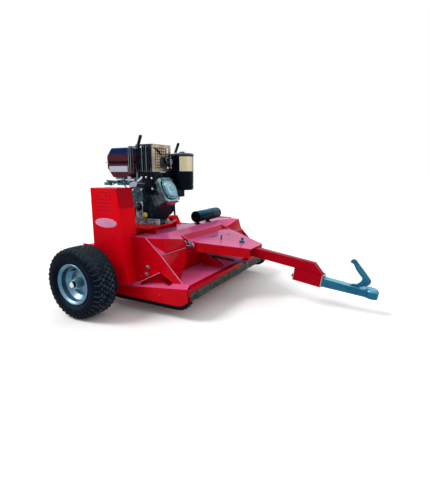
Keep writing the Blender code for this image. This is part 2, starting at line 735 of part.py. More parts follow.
def guard_outline(inset):
    """Side outline of the belt guard, pulled in by the given amount."""
    rear = GUARD_REAR_X + inset
    low = GUARD_LOW_Z + inset
    top = GUARD_TOP_Z - inset
    waist = [(x - inset, z) for x, z in GUARD_WAIST]
    return [(rear, low), (GUARD_FOOT_X - inset, low + 0.010)] + waist + [(GUARD_TOP_X - inset, top), (rear, top)]


def belt_guard(root):
    """Sheet cover over the belt, deeper above the deck than beside the side plate."""
    step = REAR_DECK_Z + PLATE_RISE + GAP
    face = -(PLATE_Y + GAP)
    lower = prism(guard_outline(0.0), GUARD_Y, face)
    clip = box(-0.2, RIDGE_REAR_X - 0.060, face - 0.001, GUARD_IN_Y, step, 0.9)
    above = box(-0.2, 0.4, face - 0.001, GUARD_IN_Y, RIDGE_Z + PLATE_RISE + GAP, 0.9)
    upper = evaluated(prism(guard_outline(0.0), face - 0.001, GUARD_IN_Y), weld(clip, above), "INTERSECT")
    shape = weld(lower, upper)
    shape = cut(shape, prism(guard_outline(COVER_SHEET), GUARD_Y + COVER_SHEET, 0.0))
    return part("belt_guard", shape, "red_paint", root)


# Engine

def engine_platform(root):
    """Raised platform welded from folded plates, with the guard's back plate and the lever's bush lug."""
    low = REAR_DECK_Z + GAP
    x0, x1 = PLATFORM_X
    near_y, far_y = PLATFORM_Y
    corner_x, corner_y = PLATFORM_CORNER
    top = prism([(x0, GUARD_IN_Y + 0.002), (x1, GUARD_IN_Y + 0.002), (x1, far_y - corner_y), (x1 - corner_x, far_y),
                 (x0, far_y)], PLATFORM_Z - PLATFORM_SHEET, PLATFORM_Z, "Z")
    wall_top = GUARD_TOP_Z - 0.010
    back = prism([(x0, low), (RIDGE_REAR_X - 0.048, low), (GUARD_TOP_X - 0.006, REAR_DECK_Z + 0.039),
                  (GUARD_TOP_X - 0.006, wall_top), (x0, wall_top)], GUARD_IN_Y + GAP, GUARD_IN_Y + GAP + SHEET)
    shape = weld(top, back)
    seat = [(x0, low), (RIDGE_REAR_X - 0.052, low), (RIDGE_REAR_X - 0.006, RIDGE_Z + GAP)]
    near = prism(seat + [(x1 - 0.010, RIDGE_Z + GAP), (x1, PLATFORM_Z - 0.002), (x0, PLATFORM_Z - 0.002)],
                 near_y, near_y + SHEET)
    x2 = x1 - corner_x
    ear = [(x2 - 0.004, RIDGE_Z + GAP), (x2, PLATFORM_Z - 0.011), (x2 - 0.053, PLATFORM_Z + 0.0185),
           (x2 - 0.060, PLATFORM_Z - 0.002), (x0, PLATFORM_Z - 0.002)]
    far = prism(seat + ear, far_y - SHEET, far_y)
    x, z = TENSION
    lug = prism([(x - 0.018, PLATFORM_Z - 0.003), (x - 0.018, z + 0.006), (x - 0.008, z + 0.018),
                 (x + 0.006, z + 0.018), (x + 0.014, z + 0.006), (x + 0.014, PLATFORM_Z - 0.003)],
                far_y - SHEET, far_y)
    shape = weld(shape, near, far, lug)
    shape = cut(shape, rod(TENSION_SHAFT_R + GAP, -0.60, 0.0, TENSION, segments=14),
                rod(CRANK_R + 0.004, GUARD_IN_Y - 0.01, GUARD_IN_Y + 0.02, SHAFT, segments=20))
    return part("engine_platform", shape, "red_paint", root)


def crankcase(root):
    """Crankcase with its base flange, drive side boss, tank stays and oil filler neck."""
    foot = PLATFORM_Z + GAP
    near_y, far_y = ENGINE_NEAR_Y + 0.003, ENGINE_FAR_Y - 0.002
    base = prism([(BASE_X[0], near_y), (BASE_X[1], near_y), (BASE_X[1], far_y - BASE_CORNER[1]),
                  (BASE_X[1] - BASE_CORNER[0], far_y), (BASE_X[0], far_y)], foot, foot + 0.014, "Z")
    c, s = math.cos(CYLINDER_TILT), math.sin(CYLINDER_TILT)
    x, z = CYLINDER
    seat = CYLINDER_SEAT
    lower = (x + seat * c + FIN_HALF * s, z + seat * s - FIN_HALF * c)
    upper = (x + seat * c - FIN_HALF * s, z + seat * s + FIN_HALF * c)
    rear, front = CASE_X
    body = prism([(rear, foot + 0.010), (front, foot + 0.010), lower, upper, (rear + 0.025, upper[1]),
                  (rear, upper[1] - 0.022)], ENGINE_NEAR_Y, ENGINE_FAR_Y)
    body = bevelled(body, 0.006)
    shape = weld(body, base)
    boss = turned([(ENGINE_NEAR_Y + 0.002, 0.062), (ENGINE_NEAR_Y - 0.004, 0.058),
                   (ENGINE_NEAR_Y - 0.004, 0.030), (ENGINE_NEAR_Y - 0.010, 0.026)],
                  (SHAFT[0], 0, SHAFT[1]), segments=24)
    shape = weld(shape, boss)
    stay_top = TANK_Z[0] - GAP
    stay_end = TANK_X[1] - 0.009
    leg = box(rear + 0.007, stay_end - 0.004, ENGINE_NEAR_Y + 0.045, ENGINE_FAR_Y - 0.035, upper[1] - 0.040,
              stay_top - 0.002)
    arm = box(TANK_X[0] + 0.043, stay_end, ENGINE_NEAR_Y + 0.030, ENGINE_FAR_Y - 0.015, stay_top - 0.010, stay_top)
    neck = turned([(ENGINE_NEAR_Y + 0.004, 0.014), (ENGINE_NEAR_Y - 0.012, 0.014)],
                  (OIL_NECK[0], 0, OIL_NECK[1]), segments=16)
    shape = weld(shape, leg, arm, neck)
    return part("crankcase", shape, "cast_alloy", root)


def cylinder_head(root):
    """Finned cylinder and head in one block, leaning forward."""
    axis = empty("cylinder_axis", (CYLINDER[0], 0, CYLINDER[1]), -CYLINDER_TILT, root)
    start = CYLINDER_SEAT + GAP
    pitch = (HEAD_END - start) / FINS
    deep = FIN_HALF - 0.022
    top = []
    low = []
    for k in range(FINS):
        a = start + k * pitch
        b = a + pitch * 0.45
        top += [(a, FIN_HALF), (b, FIN_HALF)]
        low += [(a, -FIN_HALF), (b, -FIN_HALF)]
        if k < FINS - 1:
            top += [(b, deep), (a + pitch, deep)]
            low += [(b, -deep), (a + pitch, -deep)]
    shape = prism(top + low[::-1], *CYLINDER_Y)
    return axis, part("cylinder_head", shape, "cast_alloy", axis)


def valve_cover(axis):
    pitch = (HEAD_END - CYLINDER_SEAT - GAP) / FINS
    start = HEAD_END - pitch * 0.55 + GAP
    near, far = CYLINDER_Y
    shape = bevelled(box(start, start + 0.034, near + 0.010, far - 0.010, -COVER_HALF, COVER_HALF), 0.010, 2)
    return part("valve_cover", shape, "zinc", axis, smooth=40)


def blower_housing(root):
    low = ENGINE_FAR_Y + GAP
    profile = [(low, BLOWER_R), (low + BLOWER_DEPTH - 0.022, BLOWER_R), (low + BLOWER_DEPTH, BLOWER_R - 0.020),
               (low + BLOWER_DEPTH, STARTER_R - 0.012)]
    shape = turned(profile, (SHAFT[0], 0, SHAFT[1] + 0.005), segments=24)
    return part("blower_housing", shape, "engine_black", root, smooth=40)


def starter_cover(root):
    low = ENGINE_FAR_Y + BLOWER_DEPTH + 2 * GAP
    profile = [(low, STARTER_R), (low + 0.022, STARTER_R - 0.002), (low + 0.034, STARTER_R - 0.020),
               (low + 0.034, 0.020)]
    shape = turned(profile, (SHAFT[0], 0, SHAFT[1] + 0.005), segments=24)
    spout = box(SHAFT[0] + 0.040, SHAFT[0] + STARTER_R + 0.010, low + 0.002, low + 0.022, SHAFT[1] + 0.045,
                SHAFT[1] + 0.070)
    return part("starter_cover", weld(shape, spout), "engine_black", root)


def starter_handle(root):
    low = ENGINE_FAR_Y + BLOWER_DEPTH + 2 * GAP
    x = SHAFT[0] + STARTER_R + 0.010 + GAP
    y = low + 0.012
    z = SHAFT[1] + 0.0575
    grip = box(x, x + 0.018, y - 0.007, y + 0.007, z - 0.008, z + 0.008)
    bar = box(x + 0.010, x + 0.024, y - 0.008, y + 0.008, z - 0.032, z + 0.032)
    shape = bevelled(weld(grip, bar), 0.003)
    return part("starter_handle", shape, "black_plastic", root, at=(x, y, z))


def crankshaft(root):
    axis = empty("crank_axis", (SHAFT[0], 0, SHAFT[1]), parent=root)
    start = ENGINE_NEAR_Y - 0.010 - GAP
    end = BELT_Y - BELT_WIDTH / 2 - FLANGE_THICK - 0.006
    shape = turned([(start, CRANK_R), (end, CRANK_R)], (0, 0, 0), segments=16)
    return axis, part("crankshaft", shape, "steel", axis, smooth=40)


def fuel_tank(root):
    """Steel tank of two pressings: a faceted body with the seam flange round its middle."""
    x0, x1 = TANK_X
    low, high = TANK_Z
    outline = [(x0, low + 0.058), (x0 + 0.045, low), (x1 - 0.040, low), (x1, low + 0.058), (x1, high - 0.014),
               (x1 - 0.014, high), (x0 + 0.040, high), (x0, high - 0.050)]
    shape = bevelled(prism(outline, *TANK_Y), 0.010, 1, 20.0)
    seam = box(x0 - 0.006, x1, TANK_Y[0] - 0.006, TANK_Y[1] + 0.006, TANK_SEAM_Z - 0.002, TANK_SEAM_Z + 0.002)
    neck = rod(0.024, high - 0.004, high + 0.004, TANK_CAP, "Z", 20)
    return part("fuel_tank", weld(shape, seam, neck), "engine_black", root)


def fuel_cap(root):
    low = TANK_Z[1] + 0.004 + GAP
    shape = turned([(low, 0.031), (low + 0.010, 0.030), (low + 0.012, 0.027)], (*TANK_CAP, 0), "Z", 20)
    return part("fuel_cap", shape, "black_plastic", root, at=(*TANK_CAP, low))


def muffler(root):
    (x0, x1), (y0, y1), (z0, z1) = SHROUD_X, SHROUD_Y, SHROUD_Z
    body = bevelled(box(x0 + 0.011, x1 - 0.010, y0 + 0.014, y1 - 0.014, z0 + 0.011, z1 - 0.015), 0.014)
    c, s = math.cos(CYLINDER_TILT), math.sin(CYLINDER_TILT)
    seat = []
    for along, up in ((0.030, FIN_HALF + GAP), (0.200, FIN_HALF + GAP), (0.200, -0.05), (0.030, -0.05)):
        seat.append((CYLINDER[0] + along * c - up * s, CYLINDER[1] + along * s + up * c))
    middle = (CYLINDER_Y[0] + CYLINDER_Y[1]) / 2
    pipe = rod(0.015, CYLINDER[1] + 0.030, z0 + 0.023, (x1 - 0.023, middle), "Z", 14)
    pipe = cut(pipe, prism(seat, middle - 0.030, middle + 0.030))
    outlet = turned([(x1 - 0.018, 0.013), (x1 + 0.024, 0.013)], (0, *OUTLET), "X", 14)
    return part("muffler", weld(body, pipe, outlet), "black_steel", root)


def muffler_guard(root):
    """Sheet box over the muffler, open below and behind."""
    (x0, x1), (y0, y1), (z0, z1) = SHROUD_X, SHROUD_Y, SHROUD_Z
    sheet = 0.002
    outer = bevelled(box(x0, x1, y0, y1, z0, z1), 0.012)
    inner = box(x0 + sheet, x1 - sheet, y0 + sheet, y1 - sheet, z0 - 0.100, z1 - sheet)
    inner = bevelled(inner, 0.010)
    hole = turned([(x1 - 0.008, 0.018), (x1 + 0.012, 0.018)], (0, *OUTLET), "X", 16)
    foot = box(x0 + 0.023, x1 - 0.028, y0 + 0.0015, y0 + 0.014 - GAP, OUTLET[1], OUTLET[1] + 0.020)
    return part("muffler_guard", weld(cut(outer, inner, hole), foot), "steel", root)


def air_cleaner(root):
    x, y = CANISTER
    low, high = CANISTER_Z
    can = turned([(low, CANISTER_R - 0.006), (low + 0.008, CANISTER_R - 0.002), (high, CANISTER_R)],
                 (x, y, 0), "Z", 28)
    throat = box(x - 0.034, x + 0.030, CYLINDER_Y[1] + 2 * GAP, y - 0.020, low - 0.042, low + 0.012)
    return part("air_cleaner", weld(can, throat), "engine_black", root, smooth=40)


def air_cleaner_lid(root):
    low = CANISTER_Z[1] + GAP
    profile = [(low, CANISTER_R + 0.004), (low + 0.010, CANISTER_R + 0.004), (low + 0.016, CANISTER_R - 0.004),
               (low + 0.018, 0.012), (low + 0.028, 0.010)]
    shape = turned(profile, (*CANISTER, 0), "Z", 28)
    return part("air_cleaner_lid", shape, "engine_black", root, at=(*CANISTER, low), smooth=40)


def oil_cap(root):
    start = ENGINE_NEAR_Y - 0.012 - GAP
    shape = turned([(start, 0.017), (start - 0.010, 0.017), (start - 0.012, 0.014), (start - 0.012, 0.008),
                    (start - 0.020, 0.007)], (OIL_NECK[0], 0, OIL_NECK[1]), segments=12)
    return part("oil_cap", shape, "yellow_plastic", root, at=(OIL_NECK[0], start, OIL_NECK[1]))


# Wheels and height setting

def axle_rocker(axis):
    """Cross tube with both arms and stub axles; turning it lifts the deck."""
    stub_x, stub_z = -ROCKER[0], WHEEL_R - ROCKER[1]
    shape = rod(ROCKER_R, -ARM_Y, ARM_Y, (0, 0), segments=20)
    for side in (-1, 1):
        low, high = sorted((side * (ARM_Y - 0.008), side * (ARM_Y + 0.008)))
        arm = bar_path([(-0.022, 0.006), (0, 0), (stub_x, stub_z), (stub_x + 0.022, stub_z - 0.008)],
                       0.044, low, high)
        hub_out = WHEEL_Y + 0.060
        stub = turned([(side * ARM_Y, STUB_R), (side * (hub_out + 0.002), STUB_R),
                       (side * (hub_out + 0.002), 0.020), (side * (hub_out + 0.014), 0.020)],
                      (stub_x, 0, stub_z), segments=12)
        shape = weld(shape, arm, stub)
    return part("axle_rocker", shape, "black_steel", axis)


def height_lever(axis):
    low = HEIGHT_LEVER_Y
    top = (HEIGHT_LEVER_TOP[0] - ROCKER[0], HEIGHT_LEVER_TOP[1] - ROCKER[1])
    tip = [(-0.004, 0.0), (-0.010, 0.060), (top[0] - 0.083, top[1] - 0.256), (top[0] - 0.055, top[1] - 0.126), top]
    lever = bar_path(tip, 0.016, low, low + 0.010)
    collar = turned([(low, 0.030), (low + 0.014, 0.030), (low + 0.014, ROCKER_R + GAP), (low, ROCKER_R + GAP)],
                    (0, 0, 0), segments=20, ring=True)
    lever = cut(lever, rod(0.022, low - 0.01, low + 0.03, (0, 0), segments=20))
    return part("height_lever", weld(collar, lever), "black_steel", axis)


def rim(spin, side, name):
    """Dished steel rim with its hub."""
    half = RIM_WIDTH / 2
    lip = 0.007
    seat = BEAD_R - 0.002
    well = 0.088
    t = RIM_SHEET
    bore = STUB_R + GAP
    profile = [(half, RIM_FLANGE_R), (half - lip, RIM_FLANGE_R), (half - lip, seat), (0.034, seat - 0.001),
               (0.022, well), (-0.022, well), (-0.034, seat - 0.001), (-half + lip, seat),
               (-half + lip, RIM_FLANGE_R), (-half, RIM_FLANGE_R), (-half, seat - t), (-0.034, seat - t - 0.001),
               (-0.020, well - t), (0.004, well - t), (0.012, HUB_R), (-0.058, HUB_R), (-0.058, bore),
               (0.060, bore), (0.060, HUB_R - 0.003), (0.020, HUB_R + 0.006), (0.014, well - t - 0.014),
               (0.022, well - t), (0.034, seat - t - 0.001), (half, seat - t)]
    profile = [(side * a, r) for a, r in profile]
    y = side * WHEEL_Y
    return part(name, turned([(a + y, r) for a, r in profile], (0, 0, 0), segments=28, ring=True), "zinc", spin)


def tyre(spin, side, name):
    """Hollow tyre, open towards the rim."""
    half = TYRE_WIDTH / 2
    bead = RIM_WIDTH / 2 - 0.007 - 0.0006
    r = WHEEL_R
    wall = 0.009
    outer = [(bead, BEAD_R), (bead, RIM_FLANGE_R + 0.001), (half - 0.004, 0.130), (half, 0.152), (half - 0.004, 0.180),
             (half - 0.018, r - 0.008), (half - 0.040, r - 0.001), (0.0, r)]
    outer = outer + [(-a, b) for a, b in outer[-2::-1]]
    inner = [(bead - wall, BEAD_R), (bead - wall, RIM_FLANGE_R + 0.003), (half - wall - 0.004, 0.133),
             (half - wall, 0.152),
             (half - wall - 0.006, 0.176), (0.040, r - wall - 0.004)]
    inner = inner + [(-a, b) for a, b in inner[::-1]]
    profile = outer + inner[::-1]
    y = side * WHEEL_Y
    return part(name, turned([(a + y, b) for a, b in profile], (0, 0, 0), segments=32, ring=True), "rubber", spin)


# Hitch

def plate_outline(inset, extend):
    """Plan of the tow plate from its rear edge to its nose, pulled in by inset at the sides."""
    slope = math.hypot(PLATE_NOSE_U - 0.030, PLATE_HALF - PLATE_NOSE_HALF)
    shift = inset * slope / (PLATE_NOSE_U - 0.030)
    points = [(PLATE_REAR_U - extend, PLATE_HALF - inset), (0.030 - inset * 0.35, PLATE_HALF - inset),
              (PLATE_NOSE_U, PLATE_NOSE_HALF - shift),
              (PLATE_NOSE_U + 0.025 + extend, PLATE_NOSE_HALF - 0.010 - shift)]
    return points + [(u, -y) for u, y in points[::-1]]


def hitch_plate(axis):
    """A-shaped tow plate with turned-down side flanges and the turnbuckle's front lugs."""
    shape = prism(plate_outline(0.0, 0.0), FLANGE_LOW_W, PLATE_TOP_W, "Z")
    hollow = prism(plate_outline(FLANGE_SHEET, 0.03), FLANGE_LOW_W - 0.02, PLATE_TOP_W - PLATE_THICK, "Z")
    around = [(0.0, -FLANGE_HEEL_R)]
    for k in range(1, 6):
        angle = math.radians(90 + 16 * k)
        around.append((FLANGE_HEEL_R * math.cos(angle), -FLANGE_HEEL_R * math.sin(angle)))
    below = PLATE_TOP_W - PLATE_THICK
    corner = [(-0.1, below), (-0.1, -0.05), (0.036, -0.05), (0.026, FLANGE_LOW_W)] + around
    corner.append((around[-1][0], below))
    shape = cut(shape, hollow, prism(corner, -0.3, 0.3))
    u, w = LINK_FRONT_U, LINK_FRONT_W
    outline = [(u - 0.046, PLATE_TOP_W - 0.004), (u - 0.014, w - 0.006), (u - 0.006, w - 0.014),
               (u + 0.006, w - 0.014), (u + 0.014, w - 0.006), (u + 0.014, w + 0.010),
               (u + 0.004, PLATE_TOP_W - 0.004)]
    cheek = prism(outline, LINK_Y + 0.011, LINK_Y + 0.016)
    arm = prism([(u - 0.076, LINK_Y + 0.016), (u - 0.076, LINK_Y - 0.016), (u - 0.016, LINK_Y - 0.004),
                 (u + 0.004, LINK_Y + 0.016)], PLATE_TOP_W - PLATE_THICK, PLATE_TOP_W - 0.001, "Z")
    shape = weld(shape, arm, cheek)
    hole = LINK_PIN_R + GAP
    slot = weld(rod(hole, LINK_Y, LINK_Y + 0.03, (LINK_FRONT_U, w), segments=16),
                rod(hole, LINK_Y, LINK_Y + 0.03, (LINK_FRONT_U, w + LINK_FLOAT), segments=16),
                box(LINK_FRONT_U - hole, LINK_FRONT_U + hole, LINK_Y, LINK_Y + 0.03, w, w + LINK_FLOAT))
    shape = cut(shape, rod(HINGE_PIN_R + GAP, -0.4, 0.4, (0, 0), segments=16),
                rod(SWING_BOLT_R + GAP, -0.1, 0.1, (SWING_U, 0), "Z", 16), slot)
    return part("hitch_plate", shape, "red_paint", axis)


def drawbar_tube(swing):
    """Square tube with a slanted closed end, and the coupler's socket tube under it."""
    top = PLATE_TOP_W - PLATE_THICK - GAP
    low = top - TUBE
    half = TUBE / 2
    u0 = TUBE_REAR_U
    u1 = TUBE_END_U
    bar = prism([(u0, low), (u1, low), (u1 - 0.060, top), (u0, top)], -half, half)
    bar = cut(bar, prism([(u0 - 0.02, low + TUBE_WALL), (u1 - 0.075, low + TUBE_WALL),
                          (u1 - 0.075, top - TUBE_WALL), (u0 - 0.02, top - TUBE_WALL)],
                         -half + TUBE_WALL, half - TUBE_WALL))
    s0, s1 = SOCKET_U
    socket = box(s0, s1, -SOCKET_HALF, SOCKET_HALF, SOCKET_LOW_W, low + 0.001)
    shape = weld(bar, socket)
    inner = coupler_tail_half() + GAP
    shape = cut(shape, box(s0 - 0.02, s1 + 0.02, -inner, inner, SOCKET_LOW_W + TUBE_WALL, low - 0.001))
    shape = cut(shape, rod(SWING_BOLT_R + GAP, low - 0.02, top + 0.02, (SWING_U, 0), "Z", 16))
    bmesh.ops.translate(shape, verts=shape.verts, vec=(-SWING_U, 0, 0))
    return part("drawbar_tube", shape, "red_paint", swing)


def coupler_tail_half():
    return SOCKET_HALF - TUBE_WALL


def pivot_bolt(axis):
    """Bolt on which the drawbar swings, through the tow plate and the tube."""
    top = PLATE_TOP_W + GAP
    low = PLATE_TOP_W - PLATE_THICK - GAP - TUBE - GAP
    profile = [(low - 0.012, 0.015), (low, 0.015), (low, SWING_BOLT_R), (top, SWING_BOLT_R), (top, 0.017),
               (top + 0.012, 0.017), (top + 0.012, 0.009), (top + 0.036, 0.009)]
    return part("pivot_bolt", turned(profile, (SWING_U, 0, 0), "Z", 12), "zinc", axis)


def coupler(swing):
    """Pressed coupler: a channel that ends in the ball housing, its tail inside the socket tube."""
    top = COUPLER_TOP_W
    nose = COUPLER_NOSE_U
    tail_half = coupler_tail_half()
    tail_low = SOCKET_LOW_W + TUBE_WALL + GAP
    tube_low = PLATE_TOP_W - PLATE_THICK - GAP - TUBE
    low = 2 * SOCKET_LOW_W
    neck = COUPLER_NECK_W
    start = SOCKET_U[1] + 0.002
    tail = box(COUPLER_TAIL_U, start + 0.006, -tail_half, tail_half, tail_low, tube_low - 0.001 - GAP)
    body = prism([(start, neck), (start, -0.105), (nose, -0.092), (nose, top - 0.003), (nose - 0.022, top - 0.003),
                  (nose - 0.048, neck)], -COUPLER_HALF, COUPLER_HALF)
    head = turned([(-0.094, COUPLER_NOSE_R), (top - COUPLER_SHOULDER, COUPLER_NOSE_R), (top - 0.004, 0.030),
                   (top - 0.003, 0.012)],
                  (nose, 0, 0), "Z", 24)
    shape = weld(weld(body, head), tail)
    hollow = prism([(start + 0.028, neck - 0.005), (start + 0.028, low), (nose - 0.035, low),
                    (nose - 0.035, neck - 0.005)], -COUPLER_HALF + 0.004, COUPLER_HALF - 0.004)
    ball = turned([(-0.111, BALL_R), (-0.074, BALL_R), (-0.060, BALL_R * 0.82), (-0.050, BALL_R * 0.35)],
                  (nose, 0, 0), "Z", 20)
    slot = box(LATCH_U - 0.034, LATCH_U + 0.022, -0.0085, 0.0085, neck - 0.02, neck + 0.02)
    shape = cut(shape, hollow, ball, slot)
    axle = rod(0.004, -COUPLER_HALF + 0.001, COUPLER_HALF - 0.001, (LATCH_U, LATCH_W), segments=10)
    shape = weld(shape, axle)
    bmesh.ops.translate(shape, verts=shape.verts, vec=(-SWING_U, 0, 0))
    return part("coupler", shape, "zinc", swing)


def latch_handle(swing):
    """Hand latch over the coupler, turning about a cross pin."""
    pivot = (LATCH_U - SWING_U, 0, LATCH_W)
    axis = empty("latch_axis", pivot, parent=swing)
    outline = [(-0.010, -0.006), (-0.012, 0.006), (-0.025, 0.011), (-0.022, 0.019), (0.005, 0.025),
               (0.024, 0.049), (0.025, 0.068), (0.002, 0.088), (-0.019, 0.109), (-0.036, 0.135),
               (-0.051, 0.140), (-0.058, 0.147), (-0.047, 0.162), (-0.031, 0.163), (-0.004, 0.138),
               (0.037, 0.101), (0.074, 0.064), (0.073, 0.046), (0.058, 0.027), (0.018, 0.013), (0.010, -0.006)]
    shape = prism(outline, -0.008, 0.008)
    boss = rod(0.010, -0.008, 0.008, (0, 0), segments=14)
    shape = cut(weld(boss, shape), rod(0.004 + GAP, -0.02, 0.02, (0, 0), segments=10))
    return part("latch_handle", shape, "zinc", axis)


def link_frame(root, hitch_axis):
    """Frame of the turnbuckle: its origin on the rear pin, its X along the link."""
    c, s = math.cos(DRAW_PITCH), math.sin(DRAW_PITCH)
    fx = HINGE[0] + LINK_FRONT_U * c + LINK_FRONT_W * s
    fz = HINGE[1] - LINK_FRONT_U * s + LINK_FRONT_W * c
    dx, dz = fx - LINK_REAR[0], fz - LINK_REAR[1]
    length = math.hypot(dx, dz)
    tilt = math.atan2(-dz, dx)
    return length, empty("link_axis", (LINK_REAR[0], LINK_Y, LINK_REAR[1]), tilt, root)


def link_parts(length, axis):
    """Turnbuckle: rear eye, barrel turned by hand, and the threaded rod with the front eye."""
    hole = LINK_PIN_R + GAP
    barrel0, barrel1 = 0.050, 0.215
    shank = rod(LINK_ROD_R, 0.010, barrel0 - GAP, (0, 0), "X", 12)
    eye = weld(rod(0.013, -0.009, 0.009, (0, 0), segments=14), shank)
    eye = cut(eye, rod(hole, -0.02, 0.02, (0, 0), segments=12))
    part("link_eye", eye, "zinc", axis)
    barrel = turned([(barrel0, BARREL_R), (barrel1, BARREL_R), (barrel1, LINK_ROD_R + GAP),
                     (barrel0 + 0.030, LINK_ROD_R + GAP), (barrel0 + 0.030, 0.004), (barrel0, 0.004)],
                    (0, 0, 0), "X", 16, ring=True)
    part("link_barrel", barrel, "black_steel", axis)
    front = rod(0.012, -0.009, 0.009, (length, 0), segments=14)
    shank = rod(LINK_ROD_R, barrel1 - 0.110, length - 0.008, (0, 0), "X", 12)
    pin = turned([(0.008, LINK_PIN_R), (0.0163, LINK_PIN_R), (0.0163, 0.0115), (0.0200, 0.0115)],
                 (length, 0, 0), segments=12)
    front = weld(front, shank, pin)
    part("link_rod", front, "zinc", axis)


# Document holder

def document_tube(root):
    x, y, z = HOLDER
    end = y + HOLDER_LENGTH
    bore = HOLDER_R - HOLDER_WALL
    shape = turned([(y, HOLDER_R), (end, HOLDER_R), (end, bore), (y + 0.004, bore)], (x, 0, z), segments=24)
    for k in (0.020, 0.170):
        low = RIDGE_Z + GAP
        foot = box(x - 0.026, x + 0.026, y + k, y + k + 0.016, low, low + 0.004)
        web = box(x - 0.012, x + 0.012, y + k, y + k + 0.016, low, z - HOLDER_R + 0.006)
        shape = weld(shape, foot, web)
    return part("document_tube", shape, "black_plastic", root)


def document_cap(root):
    x, y, z = HOLDER
    closed = y + HOLDER_LENGTH + GAP
    start = closed - HOLDER_CAP
    bore = HOLDER_R + GAP
    profile = [(closed, bore), (start, bore), (start, bore + 0.002), (closed - 0.002, bore + 0.002),
               (closed + 0.004, bore - 0.004)]
    shape = turned(profile, (x, 0, z), segments=24)
    return part("document_cap", shape, "black_plastic", root, at=(x, start, z))


def frame_shift():
    """Moves the origin under the middle of the length, from the quadrant to the coupler's nose."""
    u = COUPLER_NOSE_U + COUPLER_NOSE_R
    w = COUPLER_TOP_W - COUPLER_SHOULDER
    front = HINGE[0] + u * math.cos(DRAW_PITCH) + w * math.sin(DRAW_PITCH)
    rear = ROCKER[0] - QUADRANT_REACH
    return -(front + rear) / 2


def build():
    clear_scene()
    root = empty("machine", (frame_shift(), 0, 0))
    deck_shell(root)
    side_plate(root, -1, "side_plate_right")
    side_plate(root, 1, "side_plate_left")
    skirt_rail(root, -1, "skirt_rail_right")
    skirt_rail(root, 1, "skirt_rail_left")
    skid(root, -1, "skid_right")
    skid(root, 1, "skid_left")
    front_bar(root)
    hitch_beam(root)
    link_bracket(root)
    hinge_pin(root, -1, "hinge_pin_right")
    hinge_pin(root, 1, "hinge_pin_left")
    for index in range(FLAP_COUNT):
        front_flap(root, index)

    rotor_axis = empty("rotor_axis", (ROTOR[0], 0, ROTOR[1]), parent=root)
    rotor(rotor_axis)
    for index in range(HAMMER_COUNT):
        hammer(rotor_axis, index)
    bearing(root, -1, "bearing_right")
    bearing(root, 1, "bearing_left")
    pulley("rotor_pulley", rotor_axis, DRIVEN_R, ROTOR_SHAFT_R)
    crank_axis, _ = crankshaft(root)
    pulley("drive_pulley", crank_axis, DRIVE_R, CRANK_R)
    drive_belt(root)
    tension_axis, _ = tension_lever(root)
    idler_pulley(tension_axis)
    belt_guard(root)

    engine_platform(root)
    crankcase(root)
    cylinder_axis, _ = cylinder_head(root)
    valve_cover(cylinder_axis)
    blower_housing(root)
    starter_cover(root)
    starter_handle(root)
    fuel_tank(root)
    fuel_cap(root)
    muffler(root)
    muffler_guard(root)
    air_cleaner(root)
    air_cleaner_lid(root)
    oil_cap(root)

    rocker_axis = empty("rocker_axis", (ROCKER[0], 0, ROCKER[1]), parent=root)
    axle_rocker(rocker_axis)
    height_lever(rocker_axis)
    for side, word in ((-1, "right"), (1, "left")):
        spin = empty("wheel_axis_" + word, (-ROCKER[0], 0, WHEEL_R - ROCKER[1]), parent=rocker_axis)
        rim(spin, side, "rim_" + word)
        tyre(spin, side, "tyre_" + word)

    hitch_axis = empty("hitch_axis", (HINGE[0], 0, HINGE[1]), DRAW_PITCH, root)
    hitch_plate(hitch_axis)
    pivot_bolt(hitch_axis)
    swing = empty("swing_axis", (SWING_U, 0, 0), parent=hitch_axis)
    drawbar_tube(swing)
    coupler(swing)
    latch_handle(swing)
    length, link_axis = link_frame(root, hitch_axis)
    link_parts(length, link_axis)

    document_tube(root)
    document_cap(root)


build()
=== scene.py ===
# %% [markdown]
# # A towed hammer knife mower
# This lesson dresses a finished CAD frame of a small towed mower: folded red sheet, an engine on a
# platform, two turf wheels and a drawbar. The frame gives every size, so we load it first and only
# ask it where things are.

# %% Load the frame
import json
import math
import bmesh
import bpy
from mathutils import Matrix, Vector


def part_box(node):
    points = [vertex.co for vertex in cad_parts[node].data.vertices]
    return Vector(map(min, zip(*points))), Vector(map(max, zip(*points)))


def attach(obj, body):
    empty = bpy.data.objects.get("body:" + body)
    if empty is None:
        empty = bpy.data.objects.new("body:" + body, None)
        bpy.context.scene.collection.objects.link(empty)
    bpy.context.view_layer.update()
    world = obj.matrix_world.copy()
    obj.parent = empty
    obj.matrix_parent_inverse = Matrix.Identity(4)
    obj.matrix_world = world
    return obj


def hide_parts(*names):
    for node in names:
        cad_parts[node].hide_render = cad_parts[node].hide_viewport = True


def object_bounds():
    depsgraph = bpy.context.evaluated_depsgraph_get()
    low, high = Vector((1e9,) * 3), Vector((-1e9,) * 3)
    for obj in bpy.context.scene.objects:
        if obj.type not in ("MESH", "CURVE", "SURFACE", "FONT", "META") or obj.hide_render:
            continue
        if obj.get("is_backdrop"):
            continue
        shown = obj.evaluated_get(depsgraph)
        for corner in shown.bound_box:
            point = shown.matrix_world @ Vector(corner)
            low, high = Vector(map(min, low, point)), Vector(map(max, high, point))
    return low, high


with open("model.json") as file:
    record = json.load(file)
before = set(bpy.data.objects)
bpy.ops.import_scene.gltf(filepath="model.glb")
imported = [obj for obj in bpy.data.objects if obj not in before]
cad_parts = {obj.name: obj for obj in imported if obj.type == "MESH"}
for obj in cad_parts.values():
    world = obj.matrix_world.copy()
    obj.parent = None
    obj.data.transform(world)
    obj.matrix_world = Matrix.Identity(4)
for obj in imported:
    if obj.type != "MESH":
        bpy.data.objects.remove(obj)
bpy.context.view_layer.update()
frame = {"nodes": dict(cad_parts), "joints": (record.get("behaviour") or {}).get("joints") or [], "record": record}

tyre_low, tyre_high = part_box("tyre_right")
